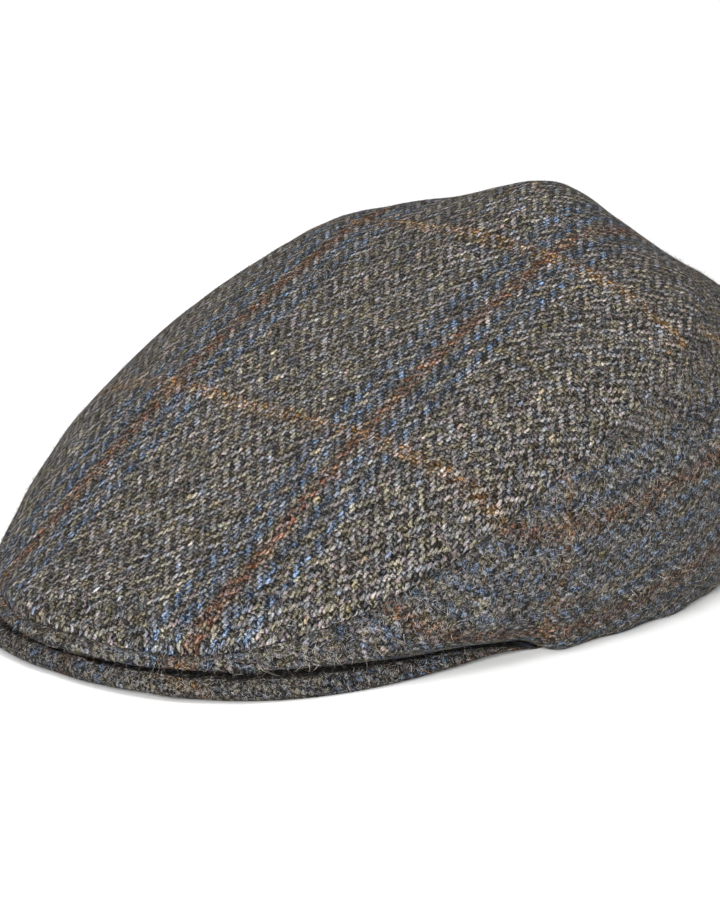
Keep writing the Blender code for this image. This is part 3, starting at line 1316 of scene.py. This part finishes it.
# The eye sees soot, brown, moss, plum and chalk in the ground, and slate blue, rust, pale
# orange and old gold in the overcheck
WOOLS: Dict[str, Tuple[Tuple[float, str], ...]] = {
    "warp": (
        (0.00, "#383939"),
        (0.18, "#605c52"),
        (0.34, "#85817f"),
        (0.48, "#8c9075"),
        (0.62, "#837787"),
        (0.74, "#8b866f"),
        (0.86, "#b2afa2"),
        (1.00, "#7d8797"),
    ),
    "fleck": (
        (0.00, "#a8794a"),
        (0.25, "#9a8f55"),
        (0.50, "#7f93b0"),
        (0.75, "#c2b79f"),
        (0.99, "#8c5a44"),
    ),
    "weft": (
        (0.36, "#1d1e22"),
        (0.44, "#45473b"),
        (0.50, "#6b6670"),
        (0.56, "#6c6a58"),
        (0.64, "#9a978b"),
    ),
    "patch": (
        (0.36, "#c7beb0"),
        (0.44, "#bfc2b6"),
        (0.50, "#c8b9c7"),
        (0.56, "#bcc0c6"),
        (0.64, "#b2b9cd"),
    ),
    "blue": ((0.40, "#1a2c47"), (0.50, "#385579"), (0.60, "#6a87a8")),
    "rust": ((0.40, "#38201a"), (0.50, "#70402c"), (0.60, "#8f6243")),
    "orange": ((0.40, "#84603c"), (0.50, "#b38355"), (0.60, "#c9a880")),
    "gold": ((0.40, "#5e5130"), (0.50, "#9a8650"), (0.60, "#bfb183")),
    "loose": (
        (0.00, "#161618"),
        (0.30, "#33312f"),
        (0.45, "#5d5a57"),
        (0.60, "#86837e"),
        (0.75, "#a39f96"),
        (0.88, "#bab5ab"),
        (0.93, "#6c80a3"),
        (0.97, "#94683f"),
    ),
}


@dataclass(frozen=True)
class Tweed:
    """Woollen tweed: heather yarns in a herringbone, light warp over dark weft.

    The eye sees rice-grain floats in slanting columns, blue and rust warp lines, orange and
    gold weft lines, and a dry surface with no gloss.

    Attributes:
        name: The material's name.
        weave: The cloth's thread counts.
        extra_line: The end of one more warp line, or a far one for none.
        shade: How bright the cloth is: its overall tone, and painted shade that makes the side's
            and the peak's copies darker than the top's.
        felted: How far the nap hides the weave, from 0 to 1.
    """

    name: str
    weave: Weave = field(default_factory=Weave)
    extra_line: float = NO_LINE
    shade: float = 1.0
    felted: float = 0.0

    def material(self) -> bpy.types.Material:
        """Make the cloth's material.

        Returns:
            The finished material.
        """
        dry_wool = {
            "Roughness": 0.92,
            "IOR": 1.5,
            "Specular IOR Level": 0.1,
            "Sheen Weight": 0.04,
            "Sheen Roughness": 0.6,
            "Sheen Tint": linear_colour("#d9d4c8"),
        }
        recipe = Recipe(self.name, dry_wool)
        self.threads(recipe)
        self.floats(recipe)
        self.fibres(recipe)
        self.chances(recipe)
        self.ground(recipe)
        self.shades(recipe, self.overcheck(recipe))
        self.relief(recipe)
        return recipe.material

    def threads(self, recipe: Recipe) -> None:
        """Count ends and picks over the cloth, with yarns that wander a little.

        Args:
            recipe: The material's node tree.
        """
        recipe.add("cloth", "UVMap", {}, uv_map="cloth")
        recipe.vector("cloth_mm", "SCALE", "cloth", 1 / MM)
        recipe.noise("wander", "cloth_mm", 0.25, 3.5, 0.8)
        recipe.noise("drift", "cloth_mm", 0.035, 1.0)
        recipe.vector("moved", "ADD", "cloth_mm", recipe.shift("wander_mm", "wander", 2.6))
        recipe.vector("placed", "ADD", "moved", recipe.shift("drift_mm", "drift", 1.6))
        recipe.vector("count", "DIVIDE", "placed", (self.weave.end, self.weave.pick, 1.0))
        recipe.vector("number", "FLOOR", "count")
        recipe.vector("within", "FRACTION", "count")
        for name in ("count", "number", "within"):
            recipe.add(name + "_xy", "SeparateXYZ", {0: name})

    def floats(self, recipe: Recipe) -> None:
        """Work out where the warp and the weft float, and how high each float stands.

        Args:
            recipe: The material's node tree.
        """
        quarter_turn = np.pi / 2
        recipe.maths(
            # The twill climbs over the first four ends of a herringbone and falls over the rest
            ("column", "FLOORED_MODULO", "number_xy.X", 8.0),
            ("falling", "GREATER_THAN", "column", 3.5),
            ("step_down", "SUBTRACT", 5.0, "column"),
        )
        recipe.between("step", "falling", "column", "step_down")
        recipe.maths(
            ("climb", "ADD", "count_xy.Y", "step"),
            ("cycle", "FLOORED_MODULO", "climb", 4.0),
            ("weft_up", "GREATER_THAN", "cycle", 2.0),
            ("warp_up", "SUBTRACT", 1.0, "weft_up"),
            # A warp float is a long arch over two picks, round across
            ("warp_place", "MULTIPLY", "cycle", quarter_turn),
            ("warp_arch", "SINE", "warp_place"),
            ("warp_long", "MAXIMUM", "warp_arch", 0.0),
            ("warp_full", "POWER", "warp_long", 0.6),
            ("across_arch", "MULTIPLY", "within_xy.X", np.pi),
            ("across_round", "SINE", "across_arch"),
            ("across_full", "POWER", "across_round", 0.45),
            ("warp_height", "MULTIPLY", "warp_full", "across_full"),
            # A weft float is a lower arch over two ends
            ("cell", "FLOOR", "cycle"),
            ("weft_cell", "SUBTRACT", "cell", 2.0),
            ("weft_other", "SUBTRACT", 1.0, "weft_cell"),
        )
        recipe.between("weft_start", "falling", "weft_cell", "weft_other")
        recipe.maths(
            ("weft_place", "ADD", "weft_start", "within_xy.X"),
            ("weft_arc", "MULTIPLY", "weft_place", quarter_turn),
            ("weft_arch", "SINE", "weft_arc"),
            ("weft_long", "MAXIMUM", "weft_arch", 0.0),
            ("along_arch", "MULTIPLY", "within_xy.Y", np.pi),
            ("along_round", "SINE", "along_arch"),
            ("weft_round", "MULTIPLY", "weft_long", "along_round"),
            ("weft_height", "MULTIPLY", "weft_round", 0.62),
        )
        recipe.between("height", "weft_up", "warp_height", "weft_height")

    def fibres(self, recipe: Recipe) -> None:
        """Draw the fibres: two sets of fine wavy streaks that cross each other.

        Args:
            recipe: The material's node tree.
        """
        recipe.noise("matted", "cloth_mm", 0.55, 1.0)
        waves = recipe.shift("matted_mm", "matted", 1.5 + 1.6 * self.felted)
        recipe.vector("fibre_at", "ADD", "placed", waves)
        for name, turn in (("streaks_one", 0.55), ("streaks_two", -0.75)):
            recipe.add(
                name + "_way", "VectorRotate", {0: "fibre_at", 3: turn}, rotation_type="Z_AXIS"
            )
            thin = recipe.vector(name + "_thin", "MULTIPLY", name + "_way", (2.7, 1.0, 1.0))
            recipe.noise(name, thin, 1.0, 2.0, 0.8)
        recipe.math("streaks", "ADD", "streaks_one", "streaks_two")
        recipe.remap("fibres", "streaks", (0.7, 1.3), (0.25, 0.75))

    def chances(self, recipe: Recipe) -> None:
        """Draw one chance for each warp and weft float, and soft patches over many.

        Args:
            recipe: The material's node tree.
        """
        # The heather runs along each end, and differs from end to end
        recipe.vector("heather_way", "MULTIPLY", "number", (7.31, 0.0, 0.0))
        recipe.vector("heather_run", "MULTIPLY", "placed", (0.0, 0.25, 0.0))
        recipe.vector("heather_at", "ADD", "heather_way", "heather_run")
        recipe.noise("heather", "heather_at", 1.0, 2.0, 0.7)
        recipe.maths(
            ("float_row", "MULTIPLY", "climb", 0.25),
            ("float_number", "FLOOR", "float_row"),
            ("pick_cell", "MULTIPLY", "number_xy.X", 0.5),
            ("pick_pair", "FLOOR", "pick_cell"),
        )
        for name, across, along, seed in (
            ("float", "number_xy.X", "float_number", 3.0),
            ("pick", "pick_pair", "number_xy.Y", 9.0),
        ):
            place = recipe.add(name + "_at", "CombineXYZ", {0: across, 1: along, 2: seed})
            recipe.add(
                name + "_chance", "TexWhiteNoise", {"Vector": place}, noise_dimensions="3D"
            )
        # Patches of warmer and cooler wool, a few floats wide
        recipe.noise("patch", "placed", 0.27, 1.5, 0.6)
        recipe.noise("bleed", "placed", 0.42, 1.0)
        recipe.remap("thin", "bleed", (0.40, 0.62), (0.15, 1.15))

    def ground(self, recipe: Recipe) -> None:
        """Colour the yarns of the ground by their dyed wools.

        Args:
            recipe: The material's node tree.
        """
        recipe.math("warp_sum", "ADD", "heather", "fibres")
        recipe.math("warp_mean", "MULTIPLY", "warp_sum", 0.5)
        recipe.remap("warp_spread", "warp_mean", (0.38, 0.62), (0.0, 1.0))
        for name, source in (
            ("warp", "warp_spread"),
            ("fleck", "float_chance.Color"),
            ("weft", "fibres"),
            ("patch", "patch"),
        ):
            recipe.ramp(name + "_wool", source, WOOLS[name])
        recipe.math("fleck_chance", "GREATER_THAN", "float_chance.Value", 0.90)
        recipe.math("fleck_mix", "MULTIPLY", "fleck_chance", 0.4)
        recipe.over("warp_colour", "fleck_mix", "warp_wool", "fleck_wool")
        recipe.over("ground", "weft_up", "warp_colour", "weft_wool")
        recipe.vector("patch_light", "SCALE", "patch_wool", 1.62)
        recipe.vector("heathered", "MULTIPLY", "ground", "patch_light")

    def lines(self, recipe: Recipe, name: str, axis: str, repeat: float, extra: float) -> None:
        """Measure how far each thread, and each place, lies from an overcheck line.

        Args:
            recipe: The material's node tree.
            name: The line's name; name_thread counts whole threads and name_place doesn't.
            axis: X for the warp's ends and Y for the weft's picks.
            repeat: Threads from one line to the next.
            extra: The thread of one more line, or a far one for none.
        """
        for kind, source in (("_thread", "number_xy." + axis), ("_place", "count_xy." + axis)):
            step = name + kind
            recipe.maths(
                (step + "_up", "ADD", source, repeat / 2 + NEAR_SIDE),
                (step + "_wrap", "FLOORED_MODULO", step + "_up", repeat),
                (step + "_from", "SUBTRACT", step + "_wrap", repeat / 2),
                (step + "_off", "ABSOLUTE", step + "_from"),
                (step + "_extra", "SUBTRACT", source, extra),
                (step + "_far", "ABSOLUTE", step + "_extra"),
                (step, "MINIMUM", step + "_off", step + "_far"),
            )

    def band(self, recipe: Recipe, row: BandRow) -> None:
        """Add the strength of a coloured thread, with the fibres that spread from it.

        Args:
            recipe: The material's node tree.
            row: The thread; its strength is the node of its name.
        """
        name = row.name
        dye = row.dye * (1 - 0.2 * self.felted)
        haze = row.haze * (1 - 0.3 * self.felted)
        recipe.maths(
            (name + "_on", "COMPARE", row.lines + "_thread", row.middle, 0.3),
            (name + "_seen", "MULTIPLY", name + "_on", row.up),
            (name + "_dyed", "MULTIPLY", name + "_seen", dye),
            (name + "_held", "MULTIPLY", name + "_dyed", "dye_hold"),
            (name + "_way", "SUBTRACT", row.lines + "_place", row.middle + 0.5),
            (name + "_near", "ABSOLUTE", name + "_way"),
        )
        recipe.remap(name + "_soft", name + "_near", (0.5, 2.1), (haze, 0.0))
        recipe.math(name + "_thin", "MULTIPLY", name + "_soft", "thin")
        recipe.between(name + "_lit", row.up, 0.6, 1.1)
        recipe.math(name + "_haze", "MULTIPLY", name + "_thin", name + "_lit")
        recipe.math(name, "MAXIMUM", name + "_held", name + "_haze")

    def overcheck(self, recipe: Recipe) -> str:
        """Lay the coloured threads over the ground.

        Each repeat has a rust end with two blue ones on each side, an orange pick, and an
        old-gold one half way between.

        Args:
            recipe: The material's node tree.

        Returns:
            The node of the colour with all the threads on it.
        """
        weave = self.weave
        recipe.remap("dye_hold", "float_chance.Value", (0.0, 1.0), (0.4, 1.0))
        self.lines(recipe, "end", "X", float(weave.check_ends), self.extra_line)
        self.lines(recipe, "pick", "Y", float(weave.check_picks), NO_LINE)
        for wool in ("blue", "rust", "orange", "gold"):
            recipe.ramp(wool + "_wool", "fibres", WOOLS[wool])
        yarn = "heathered"
        for row in (
            BandRow("gold", "pick", "weft_up", weave.check_picks / 2 - NEAR_SIDE, 0.5, 0.14),
            BandRow("blue_far", "end", "warp_up", 11.0, 0.9, 0.72),
            BandRow("blue_near", "end", "warp_up", 5.0, 0.9, 0.72),
            BandRow("rust", "end", "warp_up", NEAR_SIDE, 0.95, 0.80),
            BandRow("orange", "pick", "weft_up", NEAR_SIDE, 1.0, 0.48),
        ):
            self.band(recipe, row)
            wool = row.name.partition("_")[0] + "_wool"
            yarn = recipe.over("over_" + row.name, row.name, yarn, wool)
        return yarn

    def shades(self, recipe: Recipe, yarn: str) -> None:
        """Paint shade between the floats, where the weave dips, make no two floats alike, and
        scale the colour by the piece's tone and its painted shade.

        Args:
            recipe: The material's node tree.
            yarn: The node of the yarns' colour.
        """
        # Painted shade: the colour darkens where the weave dips between the floats, in place of
        # shadow there
        hollow = (0.12 + 0.3 * self.felted, 1.12 - 0.2 * self.felted)
        recipe.remap("hollow", "height", (0.12, 0.68), hollow)
        recipe.remap("float_shade", "float_chance.Value", (0.0, 1.0), (0.62, 1.32))
        recipe.remap("pick_shade", "pick_chance.Value", (0.0, 1.0), (0.25, 1.45))
        recipe.between("own_shade", "weft_up", "float_shade", "pick_shade")
        spread = 0.64 + 0.25 * self.felted
        recipe.remap("fibre_shade", "fibres", (0.36, 0.64), (1 - spread, 1 + spread))
        recipe.noise("cloud", "placed", 0.12, 3.0, 0.7)
        recipe.remap("cloud_shade", "cloud", (0.3, 0.7), (0.48, 1.52))
        below = "hollow"
        for step in ("own_shade", "fibre_shade", "cloud_shade"):
            below = recipe.math("with_" + step, "MULTIPLY", below, step)
        # Painted shade: the piece's own darkening and the shade painted between the floats scale
        # the base colour, along with the floats' random tones
        recipe.math("shade", "MULTIPLY", below, self.shade)
        # Painted light: the dye looks stronger where the colour is darkest, in the painted shade
        # between the fibres and in darker random tones, and paler where it is brightest, as if
        # catching the light
        recipe.remap("dye_depth", below, (0.15, 1.5), (1.35, 0.95))
        recipe.add("deep_yarn", "HueSaturation", {"Saturation": "dye_depth", "Color": yarn})
        recipe.vector("tint", "SCALE", "deep_yarn", "shade")
        recipe.link("tint", "shader", "Base Color")

    def relief(self, recipe: Recipe) -> None:
        """Raise the floats and the fibres on them.

        Args:
            recipe: The material's node tree.
        """
        recipe.noise("fine", "placed", 2.6, 3.0, 0.7)
        recipe.math("fine_height", "MULTIPLY", "fine", 0.3)
        recipe.math("rough_height", "ADD", "height", "fine_height")
        relief = {"Height": "rough_height", "Strength": 0.9, "Distance": 0.6 * MM}
        recipe.add("bump", "Bump", relief)
        recipe.link("bump", "shader", "Normal")


@dataclass(frozen=True)
class LooseWool:
    """Loose wool fibres: soft grey ribbons of every shade, a few of them dyed.

    Attributes:
        name: The material's name.
    """

    name: str = "loose_wool_fibres"

    def material(self) -> bpy.types.Material:
        """Make the fibres' material, with a colour for each fibre.

        Returns:
            The finished material.
        """
        fibre = {"Roughness": 0.7, "IOR": 1.55, "Specular IOR Level": 0.25}
        recipe = Recipe(self.name, fibre)
        recipe.add("dye", "UVMap", {}, uv_map="dye")
        recipe.add("dye_xy", "SeparateXYZ", {0: "dye"})
        recipe.ramp("wool", "dye_xy.X", WOOLS["loose"])
        recipe.link("wool", "shader", "Base Color")
        return recipe.material


@dataclass
class WoolFuzz:
    """The nap of one piece: loose fibres rooted all over its outer side.

    Attributes:
        name: The finished object's name.
        slot: The name of a material slot. Not used.
        count: How many fibres there are.
        seed: Which fibres they are.
        length: The usual length of a fibre, in millimetres.
        thin: The narrowest fibre, in millimetres.
        thick: The widest fibre.
        lift: How far a fibre stands off the cloth, as a share of its length.
        floor_gap: How far the fibres keep off the floor, in millimetres.
    """

    name: str
    slot: str
    count: int
    seed: int
    length: float = 1.45
    thin: float = 0.055
    thick: float = 0.09
    lift: float = 0.30
    floor_gap: float = 0.1

    def roots(
        self, host: bpy.types.Object, rng: np.random.Generator
    ) -> Tuple[np.ndarray, np.ndarray]:
        """Return a place and a normal for each fibre, spread evenly over the outer side.

        Args:
            host: The piece that carries the fibres.
            rng: The source of chance.

        Returns:
            The places and the unit normals, as fibres x 3.
        """
        mesh = host.data
        mesh.calc_loop_triangles()
        triangles = np.empty(len(mesh.loop_triangles) * 3, dtype=np.int32)
        mesh.loop_triangles.foreach_get("vertices", triangles)
        corners = np.empty(len(mesh.vertices) * 3)
        mesh.vertices.foreach_get("co", corners)
        corners = corners.reshape(-1, 3)[triangles.reshape(-1, 3)]
        normal = np.cross(corners[:, 1] - corners[:, 0], corners[:, 2] - corners[:, 0])
        area = np.linalg.norm(normal, axis=1) / 2
        normal = normal / np.maximum(2 * area[:, None], 1e-15)
        outside = np.sum((corners.mean(axis=1) - HOLLOW_MIDDLE) * normal, axis=1) > 0
        # Cloth that faces the floor carries few fibres
        upward = np.clip((normal[:, 2] + 0.75) / 0.6, 0.05, 1.0)
        weight = np.where(outside, area, 0.0) * upward
        pick = rng.choice(len(area), size=self.count, p=weight / weight.sum())
        share = rng.random((self.count, 2))
        flip = share.sum(axis=1) > 1
        share[flip] = 1 - share[flip]
        first, second, third = corners[pick].transpose(1, 0, 2)
        root = first + (second - first) * share[:, :1] + (third - first) * share[:, 1:]
        return root, normal[pick]

    def ribbons(self, root: np.ndarray, out: np.ndarray, rng: np.random.Generator) -> np.ndarray:
        """Return each fibre's five corners: two at the root, two halfway and the tip.

        Args:
            root: Where the fibres are rooted, as fibres x 3.
            out: The cloth's normal there.
            rng: The source of chance.

        Returns:
            The corners, as fibres x 5 x 3.
        """
        way = rng.normal(size=(self.count, 3))
        way -= out * np.sum(way * out, axis=1, keepdims=True)
        way /= np.linalg.norm(way, axis=1, keepdims=True)
        length = np.clip(rng.lognormal(np.log(self.length), 0.45, self.count), 0.7, 4.6) * MM
        width = rng.uniform(self.thin, self.thick, self.count) * MM
        lift = self.lift * rng.beta(1.3, 2.2, self.count) * 2
        curl = rng.normal(size=self.count) * 0.55
        sideways = np.cross(out, way)
        rings = []
        for step, taper in ((0.0, 1.0), (0.5, 0.9), (1.0, 0.0)):
            rise = lift * np.sin(step * np.pi * 0.62) * length - 0.08 * MM
            place = root + way * (length * step)[:, None] + out * rise[:, None]
            place = place + sideways * (curl * step**2 * length)[:, None]
            across = sideways * (width * taper / 2)[:, None]
            rings.extend([place + across, place - across] if taper else [place])
        return np.stack(rings, axis=1)

    def build(self, host: bpy.types.Object, material: bpy.types.Material) -> bpy.types.Object:
        """Return the nap of a finished piece.

        Args:
            host: The piece that carries the fibres.
            material: The fibres' material.

        Returns:
            One mesh of narrow ribbons.
        """
        rng = np.random.default_rng(self.seed)
        root, out = self.roots(host, rng)
        points = self.ribbons(root, out, rng)
        points[..., 2] = np.maximum(points[..., 2], self.floor_gap * MM)
        first = np.arange(self.count)[:, None] * 5
        faces = first + np.array([0, 1, 3, 2, 2, 3, 4])
        starts = np.arange(self.count)[:, None] * 7 + np.array([0, 4])
        nap = bpy.data.meshes.new(self.name)
        nap.vertices.add(self.count * 5)
        nap.vertices.foreach_set("co", points.ravel())
        nap.loops.add(faces.size)
        nap.loops.foreach_set("vertex_index", faces.ravel().astype(np.int32))
        nap.polygons.add(starts.size)
        nap.polygons.foreach_set("loop_start", starts.ravel().astype(np.int32))
        nap.update(calc_edges=True)
        dye = np.repeat(rng.random(self.count), 7)
        layer = nap.uv_layers.new(name="dye")
        layer.uv.foreach_set("vector", np.stack([dye, np.zeros_like(dye)], axis=-1).ravel())
        nap.materials.append(material)
        piece = bpy.data.objects.new(self.name, nap)
        bpy.context.scene.collection.objects.link(piece)
        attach(piece, "root")
        return piece


# The studio


class LampRow(NamedTuple):
    """A square soft light: its name, place and side in metres, and power in watts."""

    name: str
    place: Tuple[float, float, float]
    size: float
    power: float


@dataclass(frozen=True)
class Studio:
    """A pale floor, soft light and the photograph's camera.

    Attributes:
        azimuth: The camera's direction round the cap, in degrees.
        elevation: The camera's height angle, in degrees.
        roll: The camera's turn about its own line of sight, in degrees.
        target: The point that it looks at, in millimetres.
        distance: How far away it is, in millimetres.
        lens: Its focal length in millimetres.
        sensor: Its sensor's width in millimetres.
        lamps: The soft lights.
        air: The strength of the light from all round.
    """

    azimuth: float = 42.997
    elevation: float = 16.021
    roll: float = -0.274
    target: Tuple[float, float, float] = (140.246, -162.952, 98.461)
    distance: float = 959.722
    lens: float = 157.015
    sensor: float = 36.0
    lamps: Tuple[LampRow, ...] = (
        LampRow("soft_box_front", (10.98, -15.10, 7.16), 9.2, 6510.0),
        LampRow("soft_box_above", (4.69, -8.13, 17.66), 10.0, 2400.0),
        LampRow("soft_box_behind", (-5.92, 16.28, 10.00), 9.0, 710.0),
    )
    air: float = 0.05

    def floor(self) -> None:
        """Add the floor, a wide disc with its top at zero."""
        bpy.ops.object.select_all(action="DESELECT")
        bpy.ops.mesh.primitive_circle_add(vertices=96, radius=14.0, fill_type="NGON")
        floor = bpy.context.object
        floor.name = floor.data.name = "studio_floor"
        # Matt paper, which the eye sees as plain white with a faint tooth
        recipe = Recipe("matt_white_paper", {"Roughness": 0.9, "Specular IOR Level": 0.1})
        recipe.add("place", "TexCoord", {})
        recipe.noise("tooth", "place.Object", 180.0, 2.0)
        recipe.ramp("paper", "tooth", ((0.3, "#fbfbfa"), (0.7, "#fefefe")))
        recipe.link("paper", "shader", "Base Color")
        floor.data.materials.append(recipe.material)
        floor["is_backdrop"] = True

    def lamp(self, row: LampRow) -> None:
        """Add a soft light that looks at the cap.

        Args:
            row: The light.
        """
        light = bpy.data.lights.new(row.name, "AREA")
        light.shape = "SQUARE"
        light.size = row.size
        light.energy = row.power
        lamp = bpy.data.objects.new(row.name, light)
        bpy.context.scene.collection.objects.link(lamp)
        lamp.location = row.place
        away = Vector(row.place) - Vector((0.0, 0.0, 0.05))
        lamp.rotation_euler = away.to_track_quat("Z", "Y").to_euler()

    def light(self) -> None:
        """Light the cap softly from all round, and more from the front and above."""
        world = bpy.data.worlds.new("studio_air")
        world.use_nodes = True
        background = world.node_tree.nodes["Background"]
        background.inputs["Color"].default_value = (1.0, 1.0, 1.0, 1.0)
        background.inputs["Strength"].default_value = self.air
        bpy.context.scene.world = world
        for row in self.lamps:
            self.lamp(row)

    def camera(self) -> None:
        """Add the camera at the photograph's angle."""
        turn = np.radians(self.azimuth)
        rise = np.radians(self.elevation)
        roll = np.radians(self.roll)
        level = np.array([np.cos(turn), np.sin(turn), 0.0])
        ahead = np.array([np.sin(turn), -np.cos(turn), 0.0])
        back = ahead * np.cos(rise) + np.array([0.0, 0.0, np.sin(rise)])
        above = np.cross(back, level)
        right = level * np.cos(roll) + above * np.sin(roll)
        up = above * np.cos(roll) - level * np.sin(roll)
        place = (np.array(self.target) + back * self.distance) * MM
        data = bpy.data.cameras.new("photo_camera")
        data.sensor_fit = "AUTO"
        data.sensor_width = self.sensor
        data.lens = self.lens
        data.clip_start = 0.05
        data.clip_end = 100.0
        camera = bpy.data.objects.new("photo_camera", data)
        bpy.context.scene.collection.objects.link(camera)
        columns = np.vstack([np.stack([right, up, back, place], axis=-1), (0.0, 0.0, 0.0, 1.0)])
        camera.matrix_world = Matrix(columns.tolist())
        bpy.context.scene.camera = camera

    def build(self) -> None:
        """Add the floor, the lights and the camera."""
        self.floor()
        self.light()
        self.camera()
        view = bpy.context.scene.view_settings
        view.view_transform = "Standard"
        view.look = "None"
        view.exposure = 0.0


def main() -> None:
    """Build the cap's pieces in order and report each."""
    logging.basicConfig(level=logging.INFO, format="%(message)s")
    form = CapForm()
    weave = Weave()
    Studio().build()
    # The same cloth three times: its tone on the top, and painted shade that makes the side darker
    # and the peak darker still
    top_tweed = Tweed("herringbone_tweed_top", weave, shade=0.79).material()
    side_tweed = Tweed(
        "herringbone_tweed_side", weave, extra_line=-27.0, shade=0.53, felted=0.6
    ).material()
    peak_tweed = Tweed("herringbone_tweed_peak", weave, shade=0.34, felted=0.15).material()
    wool = LooseWool().material()

    shared = {"form": form, "weave": weave}
    top = TopPanel("top_panel_tweed", "top_panel", "top_tweed", **shared).build(top_tweed)
    right, left = (
        SidePanel(node + "_tweed", node, slot, side=side, **shared).build(side_tweed)
        for node, slot, side in (
            ("side_panel_right", "right_tweed", Side.RIGHT),
            ("side_panel_left", "left_tweed", Side.LEFT),
        )
    )
    peak = Peak("peak_tweed", "peak", "peak_tweed", **shared).build(peak_tweed)
    for nap, host in (
        (WoolFuzz("top_panel_nap", "top_tweed", 62000, 31, lift=0.15), top),
        (WoolFuzz("side_panel_right_nap", "right_tweed", 45000, 32), right),
        (WoolFuzz("side_panel_left_nap", "left_tweed", 36000, 33), left),
        (WoolFuzz("peak_nap", "peak_tweed", 9000, 34, length=1.0, lift=0.16), peak),
    ):
        nap.build(host, wool)
    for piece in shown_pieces():
        LOG.info("%s: %d faces", piece.name, len(piece.data.polygons))


if __name__ == "__main__":
    main()
